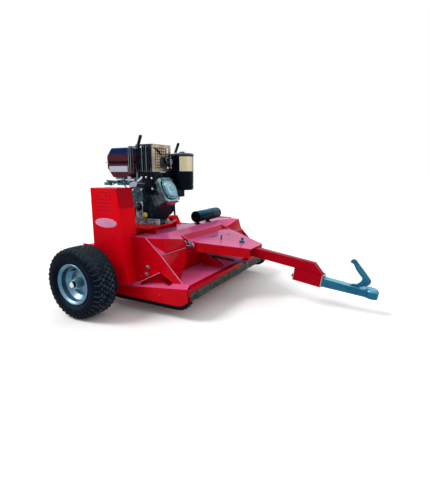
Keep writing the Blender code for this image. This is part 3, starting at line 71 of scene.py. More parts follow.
AXLE_X = (tyre_low.x + tyre_high.x) / 2
WHEEL_R = (tyre_high.z - tyre_low.z) / 2
print("nodes", len(frame["nodes"]), "axle at x", round(AXLE_X, 4), "wheel radius", round(WHEEL_R, 4))

# %% [markdown]
# ## Frames to measure in
# The maker measures the deck from the wheel axle, the drawbar from its hinge pins, and the cylinder
# and the turnbuckle along their own leaning axes. Each of those is one matrix here, so the pieces
# further on can use the drawing's own numbers.

# %% Frames of the machine, the drawbar, the cylinder and the turnbuckle
def frame_at(x, y, z, lean=0.0):
    """A frame at a place in metres from the axle's foot, turned about Y by some degrees."""
    return Matrix.Translation((AXLE_X + x, y, z)) @ Matrix.Rotation(math.radians(lean), 4, "Y")


MACHINE = frame_at(0, 0, 0)
HITCH = frame_at(0.4129, 0, 0.3582, 8.5)
CYLINDER = frame_at(0.120, 0, 0.640, -25)
joints = {joint["name"]: joint for joint in frame["joints"]}
link_axis = joints["link_slide"]["axis"]
link_lean = math.atan2(-link_axis[2], link_axis[0])
LINK = Matrix.Translation(joints["link_tilt"]["pos_m"]) @ Matrix.Rotation(link_lean, 4, "Y")
print("drawbar hinge at", [round(v, 4) for v in HITCH.translation])

# %% [markdown]
# ## The camera
# The photograph was taken from the right front, a little above the engine's base. The tyre's ellipses and the
# deck's parallel edges gave the place and the lens below.

# %% Camera
scene = bpy.context.scene
lens = bpy.data.cameras.new("camera")
lens.lens = 26.48
lens.sensor_width = 36.0
camera = bpy.data.objects.new("camera", lens)
camera.location = MACHINE @ Vector((1.573, -2.103, 0.806))
camera.rotation_euler = (math.radians(78.9), 0.0, math.radians(28.6))
scene.collection.objects.link(camera)
scene.camera = camera
print("camera at", [round(v, 3) for v in camera.location])

# %% [markdown]
# ## Floor and light
# The picture is a cut-out on white, so the world is white for the camera and for reflections, and a
# softer level lights the machine. The floor is pale and keeps a soft shadow. A wide soft sun from
# behind the camera's left shoulder throws the shadow to the right, and two soft boxes open up the
# far side.

# %% Two functions that fill and add shader nodes
def fill(item, *ordered, **named):
    """Give a node's sockets their values, in order or by name with _ for a space; outputs are linked."""
    pairs = list(zip(item.inputs, ordered))
    pairs += [(item.inputs[name.replace("_", " ")], value) for name, value in named.items()]
    for socket, value in pairs:
        if isinstance(value, bpy.types.NodeSocket):
            item.id_data.links.new(value, socket)
        else:
            socket.default_value = value
    return item.outputs


def add(tree, kind, *ordered, operation=None, **named):
    """Add a node, fill it and return its outputs."""
    item = tree.nodes.new("ShaderNode" + kind)
    if kind == "Mix":
        item.data_type = "RGBA"
    if operation:
        item.operation = operation
    return fill(item, *ordered, **named)


# %% World
scene.view_settings.view_transform = "Standard"
world = bpy.data.worlds.new("studio")
scene.world = world
world.use_nodes = True
tree = world.node_tree
tree.nodes.clear()
rays = add(tree, "LightPath")
clear = add(tree, "Math", rays["Is Camera Ray"], rays["Is Glossy Ray"], operation="MAXIMUM")[0]
clear = add(tree, "Math", clear, rays["Is Transmission Ray"], operation="MAXIMUM")[0]
level = add(tree, "MapRange", Value=clear, To_Min=0.70, To_Max=1.0)[0]
back = add(tree, "Background", Color=(1, 1, 1, 1), Strength=level)[0]
add(tree, "OutputWorld", Surface=back)
print("world", world.name)


# %% Floor and lamps
def lamp(name, place, target, size, power):
    """A square soft box aimed at a target, both in the machine's frame."""
    data = bpy.data.lights.new(name, "AREA")
    data.shape = "SQUARE"
    data.size = size
    data.energy = power
    item = bpy.data.objects.new(name, data)
    item.location = MACHINE @ Vector(place)
    aim = MACHINE @ Vector(target) - item.location
    item.rotation_euler = aim.to_track_quat("-Z", "Y").to_euler()
    scene.collection.objects.link(item)


lamp("fill_soft_box", (3.6, 0.8, 2.2), (0.4, 0.0, 0.4), 2.0, 25)
lamp("rear_soft_box", (-2.6, 2.2, 3.0), (0.2, 0.0, 0.4), 2.0, 30)
sun = bpy.data.lights.new("soft_sun", "SUN")
sun.energy = 2.1
sun.angle = math.radians(26)
sun_item = bpy.data.objects.new("soft_sun", sun)
sun_item.rotation_euler = Vector((0.75, 0.62, -1.05)).to_track_quat("-Z", "Y").to_euler()
scene.collection.objects.link(sun_item)

floor_mesh = bpy.data.meshes.new("floor")
reach = 40.0
corners = [(-reach, -reach, 0), (reach, -reach, 0), (reach, reach, 0), (-reach, reach, 0)]
floor_mesh.from_pydata(corners, [], [(0, 1, 2, 3)])
floor = bpy.data.objects.new("floor", floor_mesh)
scene.collection.objects.link(floor)
floor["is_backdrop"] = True
floor.location.z = -0.0005
paper = bpy.data.materials.new("white paper floor")
paper.use_nodes = True
fill(paper.node_tree.nodes["Principled BSDF"], Base_Color=(0.94, 0.94, 0.94, 1), Roughness=0.9,
     Specular_IOR_Level=0.1)
floor_mesh.materials.append(paper)

# %% [markdown]
# ## Finishes
# Every finish on the machine starts from the same few nodes: a slow cloud that varies the colour, a finer one that
# varies the gloss, and a bump. One function wires them, and the finishes below differ only in their numbers.
# Object coordinates keep the grain at its real size on every piece.


def finish(name, slot, colour, other, gloss, texture, metal=0.0, wear=None, stretch=(1, 1, 1), painted_sky=None,
           shine=0.5, above=None, rise=(0.25, 0.80)):
    """A Principled material: two colours in clouds, gloss that varies, fine bump, worn edges, and a painted
    reflection on faces that look up.

    gloss is the roughness and its span. texture is the clouds' scale, the grain's scale, the bump's strength and
    its depth in mm. painted_sky colours faces that look up, by a rise of their normal, as a painted reflection of
    the bright light overhead, and above is a low and a high Z in metres and the colour painted over them, also a
    painted reflection.
    """
    mat = bpy.data.materials.new(name)
    mat.use_nodes = True
    tree = mat.node_tree
    shader = tree.nodes["Principled BSDF"]

    def over(under, factor, colour):
        """Lay a colour over the one so far, by a factor."""
        return add(tree, "Mix", Factor=factor, A=under, B=(*colour, 1))["Result"]

    def between(value, low, high):
        """0 to 1 as a value goes from low to high."""
        return add(tree, "MapRange", Value=value, From_Min=low, From_Max=high)[0]

    def height(vector):
        return add(tree, "SeparateXYZ", Vector=vector)["Z"]

    patch, grain, bump, depth = texture
    place = add(tree, "TexCoord")["Object"]
    scaled = add(tree, "Mapping", Vector=place, Scale=stretch)[0]
    cloud = add(tree, "TexNoise", Vector=place, Scale=patch, Detail=6, Roughness=0.62)["Fac"]
    fine = add(tree, "TexNoise", Vector=scaled, Scale=grain, Detail=4)["Fac"]
    clouds = between(cloud, 0.35, 0.68)
    result = over((*colour, 1), clouds, other)
    if wear:
        rubbed = between(add(tree, "NewGeometry")["Pointiness"], 0.55, 0.66)
        result = over(result, add(tree, "Math", rubbed, clouds, operation="MULTIPLY")[0], wear)
    # A painted reflection over the top of a piece, by height.
    if above:
        result = over(result, between(height(place), *above[:2]), above[2])
    # A painted sky reflection on faces that look up.
    if painted_sky:
        result = over(result, between(height(add(tree, "NewGeometry")["Normal"]), *rise), painted_sky)
    rough, span = gloss
    rough = add(tree, "MapRange", Value=fine, To_Min=max(rough - span / 2, 0.02), To_Max=rough + span / 2)[0]
    ripple = add(tree, "Bump", Height=fine, Strength=bump, Distance=depth / 1000)[0]
    fill(shader, Base_Color=result, Roughness=rough, Normal=ripple, Metallic=metal, Specular_IOR_Level=shine)
    # Non-metals get a pale blue specular tint: a painted blue cast of the sky in their reflections.
    if not metal:
        fill(shader, Specular_Tint=(0.55, 0.78, 1.0, 1))
    return mat


# %% [markdown]
# ### Paints
# Glossy red enamel on folded steel. Seen at a low angle it takes a lilac bloom from the bright surroundings, which
# a little sheen gives, while faces seen square on stay deep red. That lilac, in the sheen and in the red's
# specular tint, is a painted reflection, and faces of the red that look up get a painted pink sky reflection in
# their colour. Copies of the red are painted brighter for sunlit faces and darker for faces in shade, and a pale
# pink serves the guard's pad and the painted highlights along folded edges. The black paints and the tank's copies
# have a weak specular level, so they stay deep under the bright studio. The faint blue of the black paints is the
# blue of open shade, painted in, and the tank is black enamel whose dark red sides are a painted reflection of the
# red deck and whose blue top is a painted sky reflection.

# %% Paints
# Faces that look up get a painted pink sky reflection, and the lilac specular tint and sheen below paint a lilac
# sky into the reflections.
RED = finish("red enamel", "red_paint", (0.46, 0, 0.0035), (0.37, 0, 0.004), (0.15, 0.08),
             (3, 260, 0.08, 0.25), wear=(0.42, 0.02, 0.03), painted_sky=(0.62, 0.080, 0.215), rise=(0.48, 0.84))
fill(RED.node_tree.nodes["Principled BSDF"], Specular_Tint=(1.0, 0.60, 0.95, 1), IOR=1.15,
     Sheen_Weight=0.5, Sheen_Roughness=0.28, Sheen_Tint=(0.50, 0.32, 1.0, 1))
# A brighter copy of the red enamel: painted sunlight.
SUNLIT_RED = finish("red enamel with painted sunlight", "red_paint", (0.62, 0.002, 0.006), (0.47, 0, 0.006), (0.22, 0.08),
               (2.2, 260, 0.08, 0.25), shine=0.02)
# A darker copy of the red enamel: painted shade.
HALF_SHADE_RED = finish("red enamel with painted shade", "red_paint", (0.33, 0, 0.006), (0.26, 0, 0.006), (0.20, 0.08),
              (4, 260, 0.08, 0.25), shine=0.03)
# Pale pink: the guard pad's own colour, and on the rods along folded edges a painted highlight.
PAD_AND_EDGE_HIGHLIGHT = finish("pale pad enamel and painted edge highlight", "red_paint", (0.62, 0.24, 0.38), (0.50, 0.16, 0.28), (0.20, 0.08),
              (9, 300, 0.05, 0.2))
SHADE = finish("shaded red enamel", "black_steel", (0.105, 0, 0.004), (0.080, 0, 0.006), (0.22, 0.08),
               (5, 260, 0.08, 0.25), shine=0.12)
# The black paints' faint blue is the blue of open shade, painted in.
BLACK = finish("black chassis paint", "black_steel", (0.001, 0.003, 0.007), (0.004, 0.006, 0.011),
               (0.30, 0.12), (9, 220, 0.12, 0.4), wear=(0.04, 0.05, 0.06), shine=0.03)
ENGINE = finish("engine black enamel", "engine_black", (0.0006, 0.0018, 0.005), (0.003, 0.004, 0.009),
                (0.16, 0.08), (7, 300, 0.06, 0.2), wear=(0.03, 0.04, 0.05), shine=0.04)
# The tank is black enamel: this dark red is a painted reflection of the red deck, and the blue on faces that look
# up and on the tank's top is a painted sky reflection.
REFLECTED_RED = (0.055, 0.010, 0.016), (0.070, 0.016, 0.024)
TANK_SIDE_REFLECTION = finish("black tank side with painted red reflection", "engine_black", *REFLECTED_RED, (0.18, 0.08), (5, 300, 0.05, 0.2),
                painted_sky=(0.002, 0.012, 0.055), shine=0.05)
TANK_TOP_REFLECTION = finish("black tank top with painted blue reflection", "engine_black", *REFLECTED_RED, (0.14, 0.08), (5, 300, 0.05, 0.2),
              painted_sky=(0.003, 0.020, 0.080), shine=0.05, above=(0.905, 0.925, (0.0015, 0.014, 0.070)))
print("paints:", [mat.name for mat in (RED, SUNLIT_RED, HALF_SHADE_RED, PAD_AND_EDGE_HIGHLIGHT, SHADE, BLACK, ENGINE, TANK_SIDE_REFLECTION, TANK_TOP_REFLECTION)])

# %% [markdown]
# ### Bare and plated metals
# Zinc plate has a cold blue cast, cast alloy is dark and oily, and the muffler guard is a warm, slightly
# heat-tinted stainless sheet. Most of them are paler on faces that look up, a painted sky reflection. The muffler
# guard's sides take a near-black copy, painted shade, and the turnbuckle sleeve's tan top is a painted highlight.
# Most are metallic, with brushed or cast grain in the bump.

# %% Metals
# The paler colour on faces that look up is a painted sky reflection.
ZINC = finish("bluish zinc plate", "zinc", (0.006, 0.075, 0.145), (0.020, 0.120, 0.205), (0.36, 0.2),
              (14, 320, 0.12, 0.4), 0.6, wear=(0.22, 0.36, 0.44), painted_sky=(0.12, 0.40, 0.52), shine=0.1)
WHEEL_ZINC = finish("wheel zinc", "zinc", (0.050, 0.135, 0.205), (0.14, 0.25, 0.34), (0.40, 0.2),
                    (9, 240, 0.10, 0.4), 1.0, painted_sky=(0.24, 0.36, 0.46))
ALLOY = finish("cast alloy", "cast_alloy", (0.10, 0.14, 0.18), (0.20, 0.25, 0.29), (0.46, 0.2),
               (12, 420, 0.45, 0.5), 1.0, painted_sky=(0.34, 0.46, 0.52))
CASE = finish("oily dark casting", "cast_alloy", (0.002, 0.004, 0.010), (0.010, 0.017, 0.028),
              (0.42, 0.2), (34, 380, 0.45, 0.6), 0.2, wear=(0.22, 0.32, 0.38), painted_sky=(0.06, 0.11, 0.15),
              shine=0.05)
COVER = finish("valve cover alloy", "zinc", (0.13, 0.27, 0.33), (0.20, 0.36, 0.42), (0.38, 0.15),
               (10, 420, 0.25, 0.3), 1.0, painted_sky=(0.32, 0.54, 0.60))
HEAD = finish("head casting", "cast_alloy", (0.055, 0.110, 0.140), (0.36, 0.47, 0.51), (0.42, 0.2),
              (38, 420, 0.35, 0.5), 0.7, painted_sky=(0.40, 0.52, 0.56), shine=0.2)
MOTTLE = finish("mottled side casting", "cast_alloy", (0.006, 0.022, 0.034), (0.060, 0.120, 0.155),
                (0.42, 0.2), (60, 420, 0.45, 0.6), 0.4, wear=(0.30, 0.42, 0.48), shine=0.06)
PALE = finish("pale blue cast foot", "steel", (0.060, 0.110, 0.145), (0.38, 0.46, 0.51), (0.42, 0.2),
              (44, 420, 0.30, 0.5), wear=(0.55, 0.60, 0.62), shine=0.2)
GUARD = finish("heat tinted stainless", "steel", (0.26, 0.20, 0.13), (0.50, 0.43, 0.32), (0.36, 0.2),
               (16, 90, 0.08, 0.4), 1.0, stretch=(1, 1, 14), painted_sky=(0.55, 0.52, 0.46))
# A near-black copy of the guard's stainless for its sides, rear and wing: painted shade.
GUARD_SIDE_SHADE = finish("guard side in painted shade", "steel", (0.004, 0.007, 0.012), (0.008, 0.013, 0.022),
                    (0.40, 0.12), (16, 90, 0.08, 0.4), 0.2, wear=(0.35, 0.42, 0.46),
                    stretch=(1, 1, 14), shine=0.05)
STEEL = finish("bare steel", "steel", (0.16, 0.22, 0.27), (0.30, 0.36, 0.40), (0.34, 0.2),
               (20, 260, 0.15, 0.4), 1.0, painted_sky=(0.46, 0.52, 0.54))
BRIGHT = finish("new plated steel", "steel", (0.50, 0.60, 0.64), (0.62, 0.70, 0.72), (0.30, 0.1),
                (20, 260, 0.08, 0.4), 1.0)
# The sleeve's tan top is a painted highlight.
SLEEVE = finish("blued turnbuckle steel", "black_steel", (0.004, 0.006, 0.009), (0.010, 0.012, 0.016),
                (0.34, 0.12), (14, 260, 0.12, 0.4), 0.6, painted_sky=(0.36, 0.29, 0.20), shine=0.2)
GREY = finish("grey lid enamel", "engine_black", (0.020, 0.028, 0.036), (0.032, 0.040, 0.048),
              (0.26, 0.08), (8, 300, 0.06, 0.2), painted_sky=(0.055, 0.070, 0.082), shine=0.3)
FOIL = finish("cream foil band", "engine_black", (0.42, 0.37, 0.23), (0.56, 0.51, 0.35), (0.34, 0.1),
              (4, 200, 0.05, 0.4), 0.6, shine=0.3)
print("metals:", ZINC.name, ALLOY.name, GUARD.name, STEEL.name)

# %% [markdown]
# ### Rubber, plastics and belt
# Tyre rubber is matt, and its faint blue is the blue of open shade, painted in; faces that look up get a painted
# sky reflection. The flaps are greenish grey sheet, and the mouldings have a fine leather-like grain; the teal on
# the document holder's faces that look up is a painted sky reflection. The bump does the work, because black
# surfaces show little colour.

# %% Rubber and plastics
# The faint blue is the blue of open shade, painted in, and the paler tops are a painted sky reflection.
TYRE = finish("tyre rubber", "rubber", (0.0008, 0.0022, 0.0075), (0.0035, 0.006, 0.012), (0.60, 0.12),
              (16, 500, 0.35, 0.6), wear=(0.050, 0.072, 0.085), painted_sky=(0.016, 0.026, 0.032), shine=0.035)
FLAP = finish("flap rubber", "flap_rubber", (0.008, 0.018, 0.014), (0.050, 0.062, 0.048), (0.62, 0.12),
              (30, 300, 0.30, 0.5), wear=(0.12, 0.12, 0.10), shine=0.15)
# The teal on faces that look up is a painted sky reflection.
TEAL = finish("dark teal moulding", "black_plastic", (0.001, 0.006, 0.010), (0.002, 0.010, 0.016),
              (0.26, 0.12), (8, 600, 0.10, 0.2), painted_sky=(0.005, 0.100, 0.165), shine=0.04)
PLASTIC = finish("black moulding", "black_plastic", (0.0020, 0.0028, 0.004), (0.006, 0.007, 0.009),
                 (0.40, 0.12), (8, 700, 0.22, 0.2), shine=0.2)
YELLOW = finish("yellow moulding", "yellow_plastic", (0.42, 0.40, 0.02), (0.50, 0.46, 0.04),
                (0.42, 0.12), (20, 500, 0.12, 0.2))
BELT = finish("belt rubber", "rubber", (0.004, 0.004, 0.004), (0.010, 0.010, 0.010), (0.75, 0.12),
              (20, 900, 0.3, 0.4))
LABEL = finish("plain pale plate", "engine_black", (0.36, 0.34, 0.44), (0.42, 0.40, 0.50), (0.38, 0.06),
               (6, 300, 0.03, 0.4))
print("rubbers and plastics:", TYRE.name, FLAP.name, TEAL.name, PLASTIC.name)

# %% [markdown]
# ## Mesh helpers
# Every shape is rows of points with faces between them. Sheet parts are outlines pushed through a
# thickness, and round parts are profiles turned about an axis. All the shapes from here on are drawn
# in millimetres, as on a workshop drawing, and become metres when a piece is made of them.

# %% Rows of points, outlines and blocks
def loft(rows, closed=True, first=False, last=False, ring=False, shape=None):
    """Faces between neighbouring rows of points, in a new mesh or added to one.

    A closed row meets its own start, first and last fill those rows, and a ring joins the last row
    to the first.
    """
    shape = shape or bmesh.new()
    rows = [[shape.verts.new(spot) for spot in row] for row in rows]
    for a, b in zip(rows, rows[1:] + rows[:1] if ring else rows[1:]):
        for k in range(len(a) if closed else len(a) - 1):
            j = (k + 1) % len(a)
            shape.faces.new((a[k], a[j], b[j], b[k]))
    if first:
        shape.faces.new(rows[0])
    if last:
        shape.faces.new(rows[-1][::-1])
    return shape


def prism(points, low, high, axis="Y"):
    """Push an outline along an axis: XZ along Y, XY along Z or YZ along X."""
    spot = {"Y": lambda a, b, t: (a, t, b), "Z": lambda a, b, t: (a, b, t),
            "X": lambda a, b, t: (t, a, b)}[axis]
    return loft([[spot(a, b, t) for a, b in points] for t in (low, high)], first=True, last=True)


def block(x0, x1, y0, y1, z0, z1):
    return prism([(x0, z0), (x1, z0), (x1, z1), (x0, z1)], y0, y1)


# %% Turned profiles
def steps(count):
    """The angles of equal steps round a circle."""
    return [2 * math.pi * k / count for k in range(count)]


def turned(profile, centre=(0, 0, 0), axis="Y", count=64, ring=False):
    """Turn (along, radius) points about an axis; a ring's profile closes on itself."""
    axes = [Vector(v) for v in ((1, 0, 0), (0, 1, 0), (0, 0, 1))] * 2
    along, side, up = axes["XYZ".index(axis):][:3]
    rows = [[Vector(centre) + along * a + (side * math.cos(t) + up * math.sin(t)) * r for t in steps(count)]
            for a, r in profile]
    return loft(rows, first=not ring, last=not ring, ring=ring)


def collar(low, high, outer, inner, centre=(0, 0, 0), axis="Y", count=40):
    """A plain ring between two radii."""
    profile = [(low, outer), (high, outer), (high, inner), (low, inner)]
    return turned(profile, centre, axis, count, True)


# %% Joining and moving shapes
def joined(*shapes):
    """Put several meshes into one, each still closed by itself."""
    whole = bmesh.new()
    for shape in shapes:
        mesh = bpy.data.meshes.new("step")
        shape.to_mesh(mesh)
        shape.free()
        whole.from_mesh(mesh)
        bpy.data.meshes.remove(mesh)
    return whole


def moved(shape, place=(0, 0, 0), turn=Matrix()):
    """Turn a shape, then move it to a place."""
    bmesh.ops.transform(shape, matrix=Matrix.Translation(place) @ turn, verts=shape.verts)
    return shape


# %% [markdown]
# ## Making and edging a piece
# Real folded sheet has no razor edges: a small bevel catches a line of light along each one. The
# bevel is a modifier, limited by angle, so flat faces and smooth curves stay as they are.

# %% A function that makes a piece
def made(name, mat, shape, edge=0.0, smooth=30, body="deck", where=MACHINE, slot=None, stands_for=(),
         segments=2):
    """Turn a shape, or a list of them, into a named piece that rides on a body."""
    if isinstance(shape, list):
        shape = joined(*shape)
    bmesh.ops.recalc_face_normals(shape, faces=shape.faces)
    bmesh.ops.transform(shape, matrix=where @ Matrix.Scale(0.001, 4), verts=shape.verts)
    mesh = bpy.data.meshes.new(name)
    shape.to_mesh(mesh)
    shape.free()
    mesh.materials.append(mat)
    mesh.shade_smooth()
    mesh.set_sharp_from_angle(angle=math.radians(smooth))
    piece = bpy.data.objects.new(name, mesh)
    scene.collection.objects.link(piece)
    if edge:
        bevel = piece.modifiers.new("edge", "BEVEL")
        bevel.width = edge / 1000
        bevel.segments = segments
        bevel.limit_method = "ANGLE"
        bevel.angle_limit = math.radians(28)
        bevel.harden_normals = True
    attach(piece, body)
    if stands_for:
        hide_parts(*stands_for)


# %% A function that edges a CAD node
BODY = {node: body for body, nodes in frame["record"]["behaviour"]["bodies"].items() for node in nodes}
SLOT = {row["node"]: row["material_slot"] for row in frame["record"]["subparts"]}
FROM_METRES = Matrix.Scale(1000, 4)


def edged(node, mat, edge=1.2, smooth=30):
    """A copy of a CAD node with merged flat faces and bevelled edges, in place of the node."""
    shape = bmesh.new()
    shape.from_mesh(frame["nodes"][node].data)
    bmesh.ops.remove_doubles(shape, verts=shape.verts, dist=0.00001)
    bmesh.ops.dissolve_limit(shape, angle_limit=math.radians(0.6), verts=shape.verts, edges=shape.edges)
    made(node + "_dressed", mat, shape, edge, smooth, BODY[node], FROM_METRES, SLOT[node], (node,))


# %% [markdown]
# ## Folded red sheet
# Hood, side plates, rails, beam, tow plate, guard and platform are right as the CAD has them, and so are the black
# skids. They are copied, given edges and painted. The front bar and drawbar take the darker copy of the red,
# painted shade, and the belt guard and platform the brighter copy, painted sunlight.

# %% Red sheet metal
# The darker and brighter copies of the red are painted shade and painted sunlight.
for mat, edge, nodes in (
        (RED, 1.6, "deck_shell"), (RED, 1.2, "side_plate_right side_plate_left"),
        (RED, 1.4, "skirt_rail_right skirt_rail_left"), (HALF_SHADE_RED, 1.0, "front_bar"),
        (RED, 2.0, "hitch_beam"), (RED, 1.0, "link_bracket"), (SUNLIT_RED, 1.2, "engine_platform"),
        (RED, 1.4, "hitch_plate"), (HALF_SHADE_RED, 2.0, "drawbar_tube"), (SUNLIT_RED, 1.2, "belt_guard"),
        (BLACK, 2.0, "skid_right skid_left")):
    for node in nodes.split():
        edged(node, mat, edge)
print("sheet pieces dressed")

# %% [markdown]
# ## Other CAD pieces
# Small or hidden pieces keep their CAD shape too, with the same bevel and a finish of their own.

# %% Chassis and drive pieces
for mat, nodes in ((BLACK, "axle_rocker rotor"), (ALLOY, "rotor_pulley drive_pulley idler_pulley"),
                   (BELT, "drive_belt"), (STEEL, "crankshaft"), (ALLOY, "bearing_right bearing_left"),
                   (CASE, "crankcase"), (ZINC, "link_rod link_eye")):
    for node in nodes.split():
        edged(node, mat, 0.8, 40)
for k in range(1, 5):
    edged("hammer_%d" % k, STEEL)
print("chassis pieces dressed")

# %% [markdown]
# ## Turf tyres
# The carcass is one turned profile with a bead ring and a raised ring on the wall. The tread is rows
# of small blocks, each a tapered box bent round the crown; a nested loop is simpler than an array
# because alternate rows are shifted by half a step.

# %% Tyre carcass and tread blocks
SIDES = ("right", -1), ("left", 1)
WHEEL_Y, HUB_Y = 0.772, 0.832
tyre_wall = [(65.5, 104.5), (66.8, 117.5), (70, 121.5), (70, 124.5), (74.5, 129), (79, 138), (80, 139.5),
             (81.2, 139.5), (81.8, 142), (82.5, 152), (82.2, 163), (80, 174), (76, 184), (69, 192.5),
             (58, 196.5), (30, 198.5)]
tyre_profile = tyre_wall + [(0, 198.8)] + [(-a, r) for a, r in tyre_wall[::-1]]


def round_tyre(radius, across, angle):
    return radius * math.sin(angle), across, radius * math.cos(angle)


def tread_radius(a):
    """Radius of the tread's outer face at a distance from the middle."""
    return 202.8 - 0.0099 * max(abs(a) - 30, 0) ** 2


def tread_block(shape, angle, across, lean, wide=16.5, deep=21.5):
    """One tapered block of the tread, added to a mesh."""
    rows = []
    for lift, shrink in ((195.5, 1.0), (tread_radius(across), 0.80)):
        row = []
        for u, v in ((-1, -1), (1, -1), (1, 1), (-1, 1)):
            a = across + u * wide / 2 * shrink
            t = angle + (v * deep / 2 * shrink + u * lean * wide / 2) / 200
            r = lift - (0.6 if lift > 200 else 0) - (tread_radius(across) - tread_radius(a))
            row.append(round_tyre(r, a, t))
        rows.append(row)
    loft(rows, last=True, shape=shape)


def shoulder_rib(shape, angle, sign):
    """A short bar that runs down the tyre's shoulder."""
    rows = [[round_tyre(r + out, sign * (a + along), angle + v) for out, along, v in
             ((-4, -2, -0.017), (1.5, 0.8, -0.012), (1.5, 0.8, 0.012), (-4, -2, 0.017))]
            for a, r in ((60, 199), (73.5, 191.5), (80, 179))]
    loft(rows, closed=False, first=True, last=True, shape=shape)


# %% Both tyres
step = 2 * math.pi / 40
for word, side in SIDES:
    carcass = turned(tyre_profile, count=112)
    bmesh.ops.delete(carcass, geom=[f for f in carcass.faces if len(f.verts) > 4], context="FACES_ONLY")
    blocks = bmesh.new()
    for row, across in enumerate((-50, -30, -10, 10, 30, 50)):
        for k in range(40):
            tread_block(blocks, (k + 0.5 * (row % 2)) * step, across, 0.18 if row < 3 else -0.18)
    for k in range(40):
        for sign in (-1, 1):
            shoulder_rib(blocks, (k + 0.25) * step, sign)
    made("turf_tyre_" + word, TYRE, [carcass, blocks], 0, 40, "wheel_" + word,
         frame_at(0, side * WHEEL_Y, WHEEL_R), stands_for=("tyre_" + word,))
print("tyres made", [round(v, 3) for v in (tyre_high - tyre_low)])

# %% [markdown]
# ## Rims
# A pressed steel wheel is a barrel with rolled flanges and a dished disc welded inside, on a hub tube.
# One closed profile turned about the axle gives all of it. The valve, washer and hub nut come next.

# %% Rims and valves
HALF_TURN = Matrix.Rotation(math.pi, 4, "Z")
outwards = {-1: HALF_TURN, 1: Matrix()}
rim_profile = [
    (73, 114.5), (71.5, 116), (68, 115.8), (66.4, 113), (66.2, 102.5), (61, 100.5), (36, 99.5), (24, 88),
    (-24, 88), (-36, 99.5), (-61, 100.5), (-66.2, 102.5), (-66.4, 113), (-68, 115.8), (-73, 115),
    (-72, 97.5), (-36, 95.5), (-22, 84), (2, 84), (8.5, 76), (10, 60), (14, 46), (12, 30), (-56, 30),
    (-56, 12.9), (59.5, 12.9), (59.8, 24), (56, 26.2), (22, 29), (19, 46), (15, 60), (13, 74), (20, 83),
    (36, 95.5), (63, 97.5), (72, 108)]
for word, side in SIDES:
    centre = frame_at(0, side * WHEEL_Y, WHEEL_R)
    rim = turned([(side * a, r) for a, r in rim_profile], count=96, ring=True)
    made("wheel_rim_" + word, WHEEL_ZINC, rim, 0.8, 40, "wheel_" + word, centre, stands_for=("rim_" + word,))
    stem = turned([(0, 5.2), (16, 5.2), (18, 4), (34, 3.6), (34.5, 3)], count=16)
    made("tyre_valve_" + word, PLASTIC, moved(stem, (-10, side * 30, 78), outwards[side]), 0, 40,
         "wheel_" + word, centre, "zinc")
print("rims and valves made")


# %% Washers, nuts and the hubs
def hex_nut(across, depth, chamfer=1.2):
    """A six-sided nut or bolt head along +Y from 0 to its depth."""
    r = across / math.sqrt(3)
    return turned([(0, r), (depth - chamfer, r), (depth, r - chamfer * 1.4)], count=6)


def washer(outer, inner, depth):
    return collar(0, depth, outer, inner, count=32)


for word, side in SIDES:
    wheel_end = "wheel_" + word, frame_at(0, side * HUB_Y, WHEEL_R) @ outwards[side]
    hub = [washer(22.5, 13, 2.5), moved(hex_nut(30, 9.5), (0, 2.8, 0)),
           turned([(0, 12), (12.5, 12), (13.5, 10.5)], count=24)]
    made("hub_nut_" + word, BRIGHT, hub, 0.4, 30, *wheel_end)
    cap = [collar(12.7, 15, 16.5, 13), turned([(15.2, 16.5), (16.8, 16.3), (18.2, 14)], count=40)]
    made("hub_cap_" + word, BRIGHT, cap, 0.4, 30, *wheel_end)
    rings = [collar(depth, depth + 1.6, outer, outer - 2.8, count=48)
             for depth, outer in ((-23, 33), (-12, 30), (-2, 26.2))]
    made("hub_rings_" + word, COVER, rings, 0.4, 30, *wheel_end)
print("hub nuts made")

# %% [markdown]
# ## Bolts on the deck
# The bright bolt heads on the side plate and rail are what the eye finds first on the big red
# surfaces. One function puts a washer and a head anywhere, facing any way.

# %% Bolt heads
RIGHT, UP = (0, -1, 0), (0, 0, 1)
PLATE_Y = 548.1


def facing(direction):
    """The turn that brings +Y to a direction."""
    return Vector((0, 1, 0)).rotation_difference(Vector(direction)).to_matrix().to_4x4()


def bolt(place, direction, across, depth):
    """A washer and hex head at a place, facing a direction."""
    shape = joined(washer(across * 0.78, across * 0.3, 1.6), moved(hex_nut(across, depth), (0, 1.6, 0)))
    return moved(shape, place, facing(direction))


heads = [bolt((x, side * PLATE_Y, z), (0, side, 0), 17, 8)
         for side in (-1, 1) for x, z in ((287, 270), (277, 227), (412, 204))]
small = [bolt((x, side * y, z), (0, side, 0), across, depth)
         for x, y, z, across, depth in ((389, 578.2, 124, 13, 5), (232, PLATE_Y, 205, 15, 6))
         for side in (-1, 1)]
small.append(bolt((-20, -625.2, 230), RIGHT, 10, 3.5))
print("bolt heads", len(heads) + len(small))
made("deck_bolts", STEEL, heads, 0.4)
made("painted_bolts", RED, small, 0.4, slot="steel")

# %% [markdown]
# ## Corner braces
# Above each rail a small triangular brace stiffens the side plate. It is a thin sheet that stands off the plate
# and comes down on the rail's sloping top. It takes the darker copy of the red, painted shade.

# %% Braces on the side plates
for word, side in SIDES:
    low = [(x, side * 548.5, z) for x, z in ((206, 163), (371, 249), (459, 200))]
    top = [(x, side * 570, z) for x, z in ((230, 156), (371, 218), (446, 192))]
    brace = loft([low, top], closed=False)
    bmesh.ops.solidify(brace, geom=brace.faces[:], thickness=3)
    # The darker red is painted shade.
    made("corner_brace_" + word, HALF_SHADE_RED, brace, 0.6)
print("braces made")

# %% [markdown]
# ## Rubber flaps
# The front curtain is rubber strip, slit so each tongue can swing. Each CAD flap becomes a row of
# tongues with slightly different lean, which reads as soft rubber at any distance. A short fixed strip
# covers the gap on the bar's face, so the rubber begins as high up as it does on the real machine.

